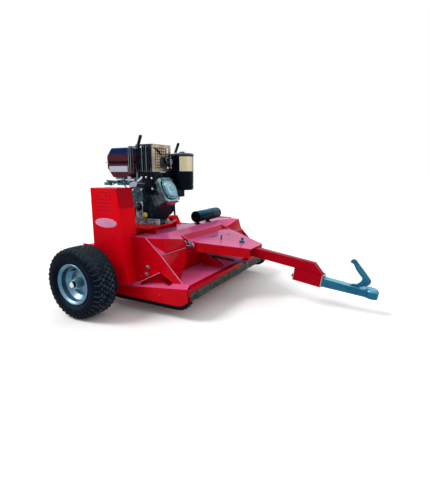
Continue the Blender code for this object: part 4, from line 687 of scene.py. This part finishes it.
# %% Front curtain
ROD_X, ROD_Z = 560, 166
TONGUES = 13
for index in range(1, 5):
    low, high = (corner.y * 1000 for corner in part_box("front_flap_%d" % index))
    wide = (high - low) / TONGUES
    parts = [turned([(low, 7.9), (high, 7.9)], (ROD_X, 0, ROD_Z), count=20)]
    for k in range(TONGUES):
        lean = min(math.sin(k * 2.3 + index), 0)
        drop = abs(0.8 * math.sin(k * 1.7 + 2 * index))
        front, rear = ROD_X + 1.9, ROD_X - 1.9
        outline = [(front, ROD_Z - 6), (front + lean * 0.5, 130), (front + lean, 100.6 + drop),
                   (ROD_X - 1.5, 100.2 + drop), (rear, 132), (rear, ROD_Z - 6)]
        parts.append(prism(outline, low + wide * k + 0.9, low + wide * (k + 1) - 0.9))
    made("rubber_curtain_%d" % index, FLAP, parts, 0.5, 30, "flap_%d" % index,
         stands_for=("front_flap_%d" % index,))
strip = [block(580.3, 582.2, y, y + 43, 146, 163) for y in (-570 + 43.9 * k for k in range(26))]
print("curtain tongues", 4 * TONGUES, "and strip pieces", len(strip))
made("curtain_strip", FLAP, strip, 0.5)

# %% [markdown]
# ## More hammers
# The CAD has four hammers. A real rotor carries a full spiral of them, so more are added here on
# their own lugs, thrown outwards as when the rotor runs. They ride on the rotor.

# %% The full row of hammers
PIN_R = 56
blade_outline = [(-13, -8), (-8, -13), (10, -11), (42, -10), (64, -18), (63, 18), (42, 10), (10, 11),
                 (-8, 13), (-13, 8)]
lug_outline = [(30, -18), (62, -13), (69, 0), (62, 13), (30, 18)]
blades, lugs = [], []
for k, y in enumerate((-428, -214, 0, 214, 428)):
    for degrees in (40, 160, 280):
        turn = Matrix.Rotation(-math.radians(degrees + 50 * k), 4, "Y")
        blade = moved(prism(blade_outline, y - 28, y + 28), (PIN_R, 0, 0))
        blades.append(moved(blade, turn=turn))
        lug = [turned([(y - 44, 6.8), (y + 44, 6.8)], (PIN_R, 0, 0), count=16)]
        lug += [prism(lug_outline, y + edge, y + edge + 7.5) for edge in (-37.5, 30)]
        lugs.append(moved(joined(*lug), turn=turn))
print("extra hammers", len(blades))
rotor = "rotor_drum", frame_at(0.100, 0, 0.226)
made("spiral_hammers", STEEL, blades, 1.0, 30, *rotor)
made("spiral_lugs", BLACK, lugs, 0.6, 30, *rotor)

# %% [markdown]
# ## Belt guard face
# The guard's outer face has rows of pressed breathing slots near the top. They are shallow louvres, made as small
# raised lips, and a thin dash of the shaded red under each lip is painted shade in its opening. Below them sits a
# plain oval pad with nothing on it. The guard's upper front face lies in shade, so a thin panel of the darker red
# covers it as painted shade.

# %% Louvres, pad and front panel of the guard
def dash(x, z, long, y_out, y_in):
    """A short dash with slanted ends."""
    return prism([(x, z), (x + long, z), (x + long - 1, z + 4), (x + 1, z + 4)], y_out, y_in)


GUARD_Y = -624
lips, slot_shades = [], []
for row in range(6):
    for column in range(4):
        x, z = 4 + column * 26 + row % 2 * 4, 596 + row * 20
        lips.append(dash(x, z, 14, GUARD_Y - 2.2, GUARD_Y))
        slot_shades.append(dash(x + 1, z - 4.4, 13, GUARD_Y - 1.3, GUARD_Y - 0.5))
pad = [prism([(55 + wide * math.cos(t), 521 + tall * math.sin(t)) for t in steps(40)],
             GUARD_Y - proud, GUARD_Y - 1.4) for wide, tall, proud in ((83, 27, 2.2), (77, 21.5, 2.8))]
print("louvres", len(lips), "and one blank pad")
made("guard_louvres", RED, lips, 0.5)
# Dark dashes under the lips: painted shade in the slots' openings.
made("guard_slot_shade", SHADE, slot_shades)
made("guard_pad", PAD_AND_EDGE_HIGHLIGHT, pad, 0.3)
panel = [(142.4, 716.5), (164.4, 606), (165.2, 606), (143.2, 716.5)]
made("guard_front_shade", HALF_SHADE_RED, prism(panel, GUARD_Y, -501.2))

# %% [markdown]
# ## Fuel tank
# Two pressings welded at a flange, both black enamel. The upper one has a sloping rear shoulder. The dark red on
# both is a painted reflection of the red deck, and the blue on their faces that look up and on the upper one's top
# is a painted sky reflection. Rounded corners come from a wide bevel on a simple outline.

# %% Tank, seam, plate and cap
TANK = -370, -100
lower = [(-168, 830), (-123, 772), (15, 772), (55, 830), (55, 867), (-168, 867)]
upper = [(-168, 868), (55, 868), (55, 943), (41, 957), (-128, 957), (-168, 907)]
# Dark red sides are a painted reflection, the blue top a painted sky reflection.
made("tank_lower_pressing", TANK_SIDE_REFLECTION, prism(lower, *TANK), 11, stands_for=("fuel_tank",), segments=4)
made("tank_upper_pressing", TANK_TOP_REFLECTION, prism(upper, *TANK), 11, segments=4)
made("tank_seam", ENGINE, block(-174, 55, -376, -94, 865, 869), 1.2)
made("tank_plate", LABEL, block(-147, 6, -371.2, -370.2, 808, 844), 0.3)
CAP_X, CAP_Y = -60, -225
cap = turned([(961.3, 30), (969, 30.5), (971.8, 29), (973.2, 25)], (CAP_X, CAP_Y, 0), "Z", 72)
for vert in cap.verts:
    away = Vector((vert.co.x - CAP_X, vert.co.y - CAP_Y))
    if away.length > 28.5 and round(math.degrees(math.atan2(away.y, away.x)) / 5) % 2:
        vert.co.x -= away.x * 0.03
        vert.co.y -= away.y * 0.03
made("tank_cap", PLASTIC, cap, 0, 40, "tank_cap", stands_for=("fuel_cap",))
print("tank made")

# %% [markdown]
# ## Tubes that follow a path
# Pipes, wires and linkage rods are round bars along a path. A curve with a bevel would do it, but a
# swept mesh exports the same everywhere, so this helper sweeps a circle along points.

# %% Swept tube
def swept(points, radius, count=14):
    """A round bar through the points, its corners eased by a Catmull-Rom pass."""
    pts = [Vector(p) for p in points]
    path = []
    for i in range(len(pts) - 1):
        p0, p1, p2, p3 = pts[max(i - 1, 0)], pts[i], pts[i + 1], pts[min(i + 2, len(pts) - 1)]
        for t in (0, 0.25, 0.5, 0.75):
            path.append(0.5 * ((2 * p1) + (p2 - p0) * t + (2 * p0 - 5 * p1 + 4 * p2 - p3) * t * t
                               + (3 * p1 - p0 - 3 * p2 + p3) * t ** 3))
    path.append(pts[-1])
    rows = []
    side = None
    for i, p in enumerate(path):
        ahead = (path[min(i + 1, len(path) - 1)] - path[max(i - 1, 0)]).normalized()
        if side is None:
            side = ahead.orthogonal().normalized()
        side = (side - ahead * side.dot(ahead)).normalized()
        up = ahead.cross(side)
        rows.append([p + (side * math.cos(t) + up * math.sin(t)) * radius for t in steps(count)])
    return loft(rows, first=True, last=True)


# %% [markdown]
# ## Muffler and its guard
# The guard is a stainless box over the muffler. Its front is punched with a grid of holes and its side with tall
# slots. Each wall is a grid of cells, each a frame round a hole, and is then given thickness. The sides and the
# rear take a near-black copy of the stainless, painted shade.

# %% Punched sheet
def punched(corner, along, up, nx, nz, hole, skip=()):
    """A wall of nx by nz cells, each a frame of four quads round a hole of the given share."""
    shape = bmesh.new()
    a, b, c = Vector(corner), Vector(along), Vector(up)
    for i in range(nx):
        for k in range(nz):
            o = a + b * (i / nx) + c * (k / nz)
            du, dv = b / nx, c / nz
            outer = [o, o + du, o + du + dv, o + dv]
            if (i, k) in skip:
                shape.faces.new([shape.verts.new(p) for p in outer])
                continue
            m = o + du / 2 + dv / 2
            inner = [m + du * (s * hole[0] / 2) + dv * (t * hole[1] / 2) for s, t in
                     ((-1, -1), (1, -1), (1, 1), (-1, 1))]
            for j in range(4):
                n = (j + 1) % 4
                shape.faces.new([shape.verts.new(p) for p in (outer[j], outer[n], inner[n], inner[j])])
    bmesh.ops.remove_doubles(shape, verts=shape.verts, dist=0.05)
    bmesh.ops.solidify(shape, geom=shape.faces[:], thickness=1.2)
    return shape


# %% Guard walls
x0, x1, y0, y1, z0, z1 = 58.5, 186.5, -348.5, -161.5, 808, 973.5
forward, across, tall = (x1 - x0, 0, 0), (0, y1 - y0, 0), (0, 0, z1 - z0)


def border(nx, nz):
    """The cells along the edge of a grid, which stay closed."""
    return {(i, k) for i in range(nx) for k in range(nz) if i in (0, nx - 1) or k in (0, nz - 1)}


outlet = {(i, k) for i in (5, 6, 7) for k in (4, 5)}
front = punched((x1, y0, z0), across, tall, 9, 10, (0.60, 0.60), border(9, 10) | outlet)
sides = [punched((x0, y, z0), forward, tall, 8, 3, (0.45, 0.86)) for y in (y0, y1)]
rear = punched((x0, y0, z0), across, tall, 6, 3, (0.5, 0.8))
top = punched((x0, y0, z1), forward, across, 8, 8, (0.5, 0.5), border(8, 8))
made("guard_front_sheet", GUARD, front, stands_for=("muffler_guard",))
# Sides and rear in the near-black copy: painted shade.
made("guard_side_sheets", GUARD_SIDE_SHADE, sides + [rear])
made("guard_top_sheet", GUARD, top)
print("punched sheets made")

# %% Muffler, outlet and guard bars
OUTLET = (0, -222, 880), "X", 40
edged("muffler", BLACK, 6)
spout = turned([(187, 18.5), (189.5, 20), (192, 18.5), (208, 14), (211.5, 14), (211.5, 11.5), (190, 11)],
               *OUTLET)
made("muffler_outlet", BLACK, spout, 0, 40)
made("outlet_ring", STEEL, collar(200, 211.2, 15, 17.2, *OUTLET), 0.5)
plate = [prism([(-272, 874), (-262, 902), (-236, 894), (-205, 904), (-172, 896), (-163, 876), (-165, 852),
                (-196, 842), (-226, 846), (-246, 834), (-278, 834)], 187.2, 188.8, "X"),
         swept([(190, -334.5, 950), (190, -301, 940), (190, -267.1, 910.6)], 3.2)]
made("outlet_plate", BLACK, plate, 0, 40)
# A bright crescent beside the outlet: a painted highlight.
rows = [[(x, -206 + r * math.cos(t), 871 + r * math.sin(t))
         for r, x in ((28, 205), (28, 209), (36, 209), (36, 205))]
        for t in (math.radians(-62 + 6.2 * k) for k in range(21))]
made("outlet_painted_highlight", BRIGHT, loft(rows, first=True, last=True), 0.4)
bars = [block(x - 0.6, x + 0.6, y0 - 2.2, y0 - 1.2, z0 + 4, z1 - 6)
        for x in (x0 + (x1 - x0) * k / 8 for k in (0.1, 3, 5, 7.9))]
made("guard_side_bars", BRIGHT, bars)
# The wing beside the guard is in the same painted shade.
made("guard_wing", GUARD_SIDE_SHADE, punched((22, -376.6, 800), (36.5, 0, 0), (0, 0, 162), 3, 3, (0.50, 0.86)))
made("guard_wing_bars", BRIGHT, [block(x, x + 1.1, -378.6, -377.6, 806, 956) for x in (23.5, 39)])
print("muffler and guard made")

# %% [markdown]
# ## Cylinder, head and valve cover
# The cylinder leans forward. Its fins are thin plates with rounded corners round a solid core, and the
# valve cover is a domed alloy casting on a flange with four bolts.

# %% Fins on the cylinder
BORE_Y = -275


def rounded(half_y, half_z, radius, low, high):
    """A plate across the cylinder's axis: a rounded rectangle from low to high along it."""
    points = []
    for qy, qz, start in ((1, 1, 0), (-1, 1, 90), (-1, -1, 180), (1, -1, 270)):
        for k in range(8):
            t = math.radians(start + 90 * k / 7)
            points.append((BORE_Y + qy * (half_y - radius) + radius * math.cos(t),
                           qz * (half_z - radius) + radius * math.sin(t)))
    return prism(points, low, high, "X")


fins = [rounded(48, 58, 12, 68.5, 143.5)]
for k in range(9):
    fins.append(rounded(69, 79, 20, 69 + k * 8.2, 71.6 + k * 8.2))
print("fins", len(fins) - 1)
made("cylinder_fins", HEAD, fins, 0.6, where=CYLINDER, stands_for=("cylinder_head",))
made("head_plate", COVER, rounded(69, 79, 24, 138, 143.4), 0.8, where=CYLINDER, slot="cast_alloy")
made("cover_joint", ENGINE, rounded(64, 68, 52, 143.8, 146.6), 0, 35, where=CYLINDER, slot="zinc")

# %% Valve cover with its bolts
rows = []
for row in range(8):
    rise = row / 7 * math.pi / 2
    x, share = 158 + 14 * math.sin(rise), 0.60 + 0.40 * math.cos(rise)
    corners = []
    for t in steps(48):
        y, z = math.cos(t), math.sin(t)
        out = share * (abs(y) ** 2.3 + abs(z) ** 2.3) ** (-1 / 2.3)
        corners.append((x, BORE_Y + y * out * 52, z * out * 56))
    rows.append(corners)
cover = [rounded(59, 63, 50, 146.6, 151), rounded(54, 58, 46, 151, 158), loft(rows, first=True, last=True),
         turned([(170, 26), (175.5, 24.5), (176.5, 21), (176.5, 12), (174.5, 10)], (0, BORE_Y, 6), "X", 40)]
made("valve_cover_casting", COVER, cover, 1.0, 35, where=CYLINDER, stands_for=("valve_cover",))
quarter = Matrix.Rotation(math.radians(-90), 4, "Z")
studs = [moved(hex_nut(10, 6), (150, BORE_Y + y, z), quarter) for y in (-45, 45) for z in (-49, 49)]
made("cover_bolts", STEEL, studs, 0.3, where=CYLINDER)
# A thin plate of the shaded red under the cylinder: painted shade, tinted red as a painted reflection of the red
# sheet.
made("cylinder_underside_shade", SHADE, block(72, 140, -344, -206, -83.6, -80.2), 0.6, where=CYLINDER,
     slot="cast_alloy")
print("valve cover made")

# %% [markdown]
# ## Crankcase dressing
# The crankcase itself comes from the CAD. A mottled side cover, the governor's drum with its ring of
# small bolts, a punched bracket and the bright foot give it the busy look of the real casting.

# %% Cover, drum, bolts and brackets on the crankcase
side_cover = [(28, 612), (50, 600), (112, 612), (120, 640), (118, 708), (50, 716), (30, 700)]
made("side_cover", MOTTLE, prism(side_cover, -369.5, -365), 2)
DRUM_X, DRUM_Z = 163.7, 711.1
drum = [turned([(-369, 34), (-367, 40), (-360, 44), (-345.5, 44)], (DRUM_X, 0, DRUM_Z), "Y", 56),
        block(100, 150, -364, -360, 652, 668), block(118, 130, -364, -360, 660, 700)]
drum += [bolt((DRUM_X + r * math.cos(t), -369, DRUM_Z + r * math.sin(t)), RIGHT, 6, 3)
         for r, t in ((30, 0.4), (26, 1.5), (31, 2.3), (28, 3.3), (30, 4.6), (12, 0.9))]
made("governor_drum", ENGINE, drum, 1.0, 35)
details = [bolt((194.2, -364, 705.8), RIGHT, 13, 6)]
details += [bolt((x, -369.5, z), RIGHT, 8, 4) for x, z in
            ((40, 622), (42, 698), (108, 622), (108, 700), (74, 606), (150, 776), (192, 770))]
print("case bolts", len(details))
made("case_bolts", BRIGHT, details, 0.3)
made("case_bracket", PALE, punched((60, -372.2, 526), (55, 0, 1), (4, 0, 96), 3, 6, (0.42, 0.42),
                                   {(0, 1), (2, 2), (1, 3), (0, 4), (2, 5), (1, 0)}))
pale = [prism([(12, 712), (68, 716), (82, 742), (52, 752), (20, 738)], -370.6, -369),
        prism([(-4, 752), (24, 750), (30, 776), (4, 782)], -370, -368)]
made("pale_brackets", LABEL, pale, 0.8, slot="steel")
made("base_edge", PALE, punched((36, -371.2, 487.4), (210, 0, 0), (0, 0, 36), 7, 2, (0.40, 0.40),
                                {(0, 0), (2, 0), (4, 0), (6, 0)}))
base = [bolt((x, y, 500.5), UP, 13, 7) for x, y in ((-8, -350), (220, -350), (-8, -180), (140, -185))]
made("base_bolts", STEEL, base, 0.3)

# %% [markdown]
# ## Bright edges of the red sheet
# The folded edges catch the sky as thin pale lines. Slim pale rods along the side plates' front edges, the hood's
# crease and the braces' top edges paint these highlights in.

# %% Bright edges
lines = []
for side in (-1, 1):
    for y, radius, ends in ((546.6, 2, [(274, 441), (381, 347)]), (546.6, 2, [(381, 347), (574, 150.6)]),
                            (549.5, 2.2, [(206, 163.2), (371, 249.2)])):
        lines.append(swept([(x, side * y, z) for x, z in ends], radius, 8))
    lines.append(swept([(381.2, side * y, 346.2) for y in (538, 290)], 1.8, 8))
print("bright edges", len(lines))
# The pale rods are painted highlights.
made("painted_edge_highlights", PAD_AND_EDGE_HIGHLIGHT, lines, 0, 40)

# %% [markdown]
# ## Around the engine
# Between tank, muffler and case the real engine is full of small things: throttle plate, governor
# arm, linkage wires, a fuel pipe, the spark plug with its cap and lead, and stays under the tank.

# %% Stays, throttle plate and uprights
stays = [block(52, 66, -346, -343, 700, 806),
         prism([(-120, 722), (40, 722), (52, 742), (52, 756), (-120, 756)], -336, -333),
         prism([(20, 700), (100, 768), (108, 760), (30, 690)], -352, -349),
         block(-130, 46, -336, -178, 760, 771.2)]
made("tank_stays", ALLOY, stays, 0.8)
control = [prism([(-205, 746), (-150, 732), (-120, 736), (-70, 728), (-20, 738), (60, 728), (96, 742),
                  (96, 760), (20, 752), (-60, 760), (-110, 752), (-205, 756)], -347, -344.5),
           block(-215, -168, -356, -330, 722, 742),
           turned([(-356, 10), (-347, 11)], (-100, 0, 744), "Y", 20),
           turned([(-356, 7), (-347, 8)], (-35, 0, 744), "Y", 20),
           swept([(-205, -354, 735), (-150, -360, 722), (-95, -358, 738), (-30, -356, 722)], 3)]
made("throttle_plate", MOTTLE, control, 0.6, slot="steel")
made("tank_strut", BRIGHT, prism([(-4, 704), (6, 698), (112, 772), (106, 782)], -358, -355.5), 0.6)
uprights = [block(*sizes) for sizes in (
    (122, 134, -352, -340, 668, 806), (146, 152, -352, -344, 690, 806), (164, 178, -350, -336, 700, 806),
    (118, 184, -347, -341, 730, 742), (168, 200, -155, -145, 720, 830), (172, 196, -200, -150, 765, 812),
    (186, 200, -300, -200, 772, 790))]
print("uprights", len(uprights))
made("engine_uprights", ENGINE, uprights, 1.0)

# %% Wires, spark plug and carburettor
wires = [swept([(-60, -345, 752), (-20, -352, 744), (40, -354, 735), (95, -352, 740)], 1.8),
         swept([(30, -350, 700), (70, -362, 712), (110, -360, 730), (150, -345, 742)], 1.6),
         swept([(-40, -340, 772), (-50, -352, 740), (-30, -356, 715), (10, -350, 690)], 4)]
made("linkage_wires", ZINC, wires, 0, 40)
lead = [swept([(212, -352, 690), (200, -362, 715), (160, -362, 742), (120, -352, 752), (85, -330, 748)], 3.6),
        turned([(-375, 7.5), (-356, 8), (-344, 10)], (214, 0, 676), "Y", 20)]
made("plug_lead", PLASTIC, lead, 0, 40)
carburettor = [block(140, 205, -345, -215, 748, 806), turned([(180, 12), (214, 12)], (0, -250, 782), "X", 24),
               swept([(196, -300, 790), (214, -310, 770), (222, -300, 745)], 6.5),
               block(70, 150, -352, -340, 760, 800)]
made("carburettor_side", ENGINE, carburettor, 1.5, 35)
print("wires and brackets made")

# %% [markdown]
# ## Blower, recoil starter and oil cap
# The blower and starter are on the far side, and other views show them: a round cowl with cooling
# slots, the recoil starter's dished cover with radial vents, and its T-shaped handle. The oil cap is
# the yellow spot on the near side.

# %% Far side of the engine and the oil cap
CRANK = (85, 0, 600)
edged("blower_housing", ENGINE, 4)
cowl = [turned([(-92.4, 72), (-78, 71.5), (-68, 66), (-60, 52), (-58.6, 22)], CRANK, "Y", 72),
        block(125, 167, -90.4, -70.4, 640, 665)]
made("recoil_cover", ENGINE, cowl, 2, 35, stands_for=("starter_cover",))
vent = [(34, -2.2), (58, -4), (58, 4), (34, 2.2)]
vents = [moved(prism(vent, -64.5, -58.8), CRANK, Matrix.Rotation(t, 4, "Y")) for t in steps(12)]
made("recoil_vents", STEEL, vents, 0.6, slot="engine_black")
edged("starter_handle", PLASTIC, 3)
oil = turned([(-377.5, 16.5), (-386, 16.5), (-388.5, 14), (-389, 8), (-397, 7.2)], (140, 0, 545), "Y", 40)
made("oil_filler", YELLOW, oil, 0.8, 35, "oil_filler_cap", stands_for=("oil_cap",))
print("far side made")

# %% [markdown]
# ## Air cleaner canister
# A tall black drum with a rolled rim and a lid held by a wing nut. The photograph shows a broad cream
# band on its upper half; here it is a plain satin foil wrapped part of the way round.

# %% Canister, foil band and lid
cx, cy = 235, -100
CANISTER = (cx, cy, 0), "Z"
drum = turned([(690.5, 60), (690.5, 66), (692.5, 69.5), (698, 71), (700, 72.6), (720, 73.2), (722, 72),
               (730, 72), (732, 73.2), (905, 73.2), (906, 74), (909.8, 74)], *CANISTER, 96)
made("cleaner_drum", ENGINE, [drum, block(202, 264, -203.5, -121, 649, 701)], 1.2, 35,
     stands_for=("air_cleaner",))
arc = [math.radians(-70 + k * 3.3) for k in range(25)]
foil = [[(cx + 73.7 * math.cos(t), cy + 73.7 * math.sin(t), z) for t in arc] for z in (812, 840, 870, 904.5)]
made("cleaner_foil", FOIL, loft(foil, closed=False), 0, 40)
lid = [turned([(910.3, 77.6), (918, 78), (920.5, 77.2), (922.5, 74.5), (925.5, 70), (928, 55), (928.5, 20),
               (930, 13)], *CANISTER, 96),
       turned([(929, 7.5), (937, 6.5)], *CANISTER, 24),
       block(cx - 20, cx + 20, cy - 1.8, cy + 1.8, 930, 938)]
made("cleaner_lid_pressing", GREY, lid, 0.8, 35, "cleaner_lid", stands_for=("air_cleaner_lid",))
print("canister made")

# %% [markdown]
# ## Hand levers
# Both levers are bars with ribbed rubber grips. The CAD bar stays below, and the grip is a turned
# profile set along the lever's last stretch.

# %% Levers and grips
GRIP_R, RIBS = 12.5, 14
edged("height_lever", BLACK)
edged("tension_lever", BLACK)
for name, body, start, end in (
        ("tension_grip", "tension_arm", (-283.8, 50, 945), (-232.6, 50, 1073.5)),
        ("height_grip", "rocker", (-300, 571, 937), (-250, 571, 1050.5))):
    along = Vector(end) - Vector(start)
    pitch = along.length / RIBS
    profile = [(0, GRIP_R * 0.8)]
    for k in range(RIBS):
        profile += [((k + 0.15 + share) * pitch, GRIP_R * thick)
                    for share, thick in ((0, 1), (0.45, 1), (0.55, 0.86), (0.80, 0.86))]
    profile += [(along.length - 1, GRIP_R), (along.length, GRIP_R * 0.7)]
    made(name, PLASTIC, moved(turned(profile, count=32), start, facing(along.normalized())), 0, 40, body)
print("levers made")

# %% [markdown]
# ## Tow plate dressing
# The plate has two cut slots, a lock pin standing in one of a row of holes, clevis pins with spring
# clips at the rear, and the big pivot bolt at the nose.

# %% Slots, lock pin and pivot bolt
ON_PLATE = "tow_plate", HITCH
# The slots and small openings are not cut: thin black patches on the plate paint the shade in them.
slot_shades = [prism([(u - a, y - b), (u + a, y - b), (u + a, y + b), (u - a, y + b)], 25.5, 26.15, "Z")
         for u, y, a, b in ((20, -30, 6, 37.5), (60, 110, 5, 20), (120, 0, 3.5, 10), (150, 0, 3.5, 10))]
made("plate_slot_shade", BLACK, slot_shades, 0, 30, *ON_PLATE, "red_paint")
LOCK, PIVOT = ((85, -52, 0), "Z"), ((213, 0, 0), "Z")
lock = [turned([(26.2, 7), (30, 7), (30, 4.5), (56, 4.5), (57, 3)], *LOCK, 24),
        collar(44, 45.5, 12, 10.4, *LOCK, 28)]
made("lock_pin", ZINC, lock, 0.3, 35, *ON_PLATE)
pivot = [moved(hex_nut(30, 12), (213, 0, 28.8), Matrix.Rotation(math.pi / 2, 4, "X")),
         collar(26.3, 28.8, 16.8, 9.5, *PIVOT),
         turned([(-49, 8.8), (60, 8.8), (61.8, 7.4)], *PIVOT, 32),
         moved(hex_nut(24, 11), (213, 0, -37.8), Matrix.Rotation(-math.pi / 2, 4, "X"))]
made("pivot_hardware", ZINC, pivot, 0.5, 35, *ON_PLATE, stands_for=("pivot_bolt",))

# %% Hinge pins and their clips
for word, side in SIDES:
    pin_profile = [(250.7, 12), (251.8, 12.9), (255.6, 12.9), (255.7, 7.9), (292, 7.9), (294, 6.2)]
    pin = [turned([(side * a, r) for a, r in pin_profile], count=32),
           collar(side * 281.5, side * 283.5, 13.8, 11.2, count=36),
           collar(side * 280, side * 283.5, 22.5, 18.5, (-24, 0, 9)),
           swept([(u, side * 282.5, w) for u, w in ((-13.5, 0), (0, 1.2), (13.5, 0))], 1.8)]
    made("clevis_pin_" + word, ZINC, pin, 0.3, 35, "deck", HITCH, stands_for=("hinge_pin_" + word,))
    spring = [(-62, 16), (-47, 21), (-32, 10), (-19, 23), (-6, 13), (6, 18), (20, 4)]
    clip = [swept([(u, side * 285, w) for u, w in spring], 2.4),
            swept([(u, side * 287, w) for u, w in ((-58, 4), (-30, -2), (4, 2))], 2.2)]
    made("spring_clip_" + word, BRIGHT, clip, 0, 40, "deck", HITCH, "zinc")
print("tow plate hardware made")

# %% [markdown]
# ## Turnbuckle
# A threaded bar between deck and tow plate sets how level the deck rides. The barrel is a long sleeve
# with a hexagonal middle, and the rod carries a real thread, drawn as close-set rings.

# %% Barrel and thread
ALONG = (0, 0, 0), "X"
barrel = [turned([(50, 8.8), (52, 9.8), (105, 9.8), (107, 9), (158, 9), (160, 9.8), (213, 9.8), (215, 9),
                  (215, 8), (50, 8)], *ALONG, 40, True),
          turned([(110.5, 9.9), (154.5, 9.9)], *ALONG, 6)]
made("turnbuckle_sleeve", SLEEVE, barrel, 0.6, 35, "turnbuckle_barrel", LINK, stands_for=("link_barrel",))
thread = [turned([(a, 6.8), (a + 0.8, 7.6), (a + 1.4, 7.6), (a + 2.2, 6.8)], *ALONG, 24)
          for a in (216.5 + 2.8 * k for k in range(16))]
made("rod_thread", ZINC, thread, 0, 35, "turnbuckle_rod", LINK)
print("turnbuckle made")

# %% [markdown]
# ## Drawbar socket and its bolt
# The coupler's tail sits in a short square tube under the bar, locked by a bolt. A worn rim shows
# round both ends of the tube.

# %% Socket rims and bolt
rims = [block(u, u + 2.8, *wall) for u in (593.5, 762.6) for wall in
        ((-36.5, -35.8, -110.5, -38), (35.8, 36.5, -110.5, -38), (-36.5, 36.5, -111.5, -110.8))]
print("socket rims", len(rims))
made("socket_rims", FOIL, rims, 0, 30, "drawbar", HITCH, "red_paint")
made("socket_bolt", BLACK, bolt((593.8, -20, -88), (-1, 0, 0), 19, 9), 0.5, 30, "drawbar", HITCH)

# %% [markdown]
# ## Ball coupler and latch
# The CAD has the pressed channel that swells into the ball housing, and the bent latch handle. They
# only need rounded edges and their zinc plate.

# %% Coupler
edged("coupler", ZINC, 2.2, 35)
edged("latch_handle", ZINC, 1.8, 35)
print("coupler made")

# %% [markdown]
# ## Document holder
# A moulded tube with a pull-off cap for the manual, on two small feet.

# %% Tube and cap
TUBE = 235, 0, 492
edged("document_tube", TEAL, 1.0, 40)
made("holder_skin", TEAL, turned([(60, 37), (60.3, 39.5), (62, 40.1), (256, 40.1)], TUBE, "Y", 72), 0, 40)
cap = [turned([(260.4, 40.4), (260.4, 42.2), (264, 42.2), (265, 41.4), (376, 41.4), (380, 40.5),
               (382.8, 38), (384.2, 33)], TUBE, "Y", 72)]
cap += [moved(block(41.2, 42, 268, 372, -1.2, 1.2), TUBE, Matrix.Rotation(t, 4, "Y")) for t in steps(24)]
made("holder_cap_moulding", TEAL, cap, 0, 40, "holder_cap", stands_for=("document_cap",))
print("holder made")

# %% [markdown]
# ## Measure and finish
# The dressed model's box is measured. The dressed model has to stay inside the CAD's box.

# %% Measure the dressed model's box
low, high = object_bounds()
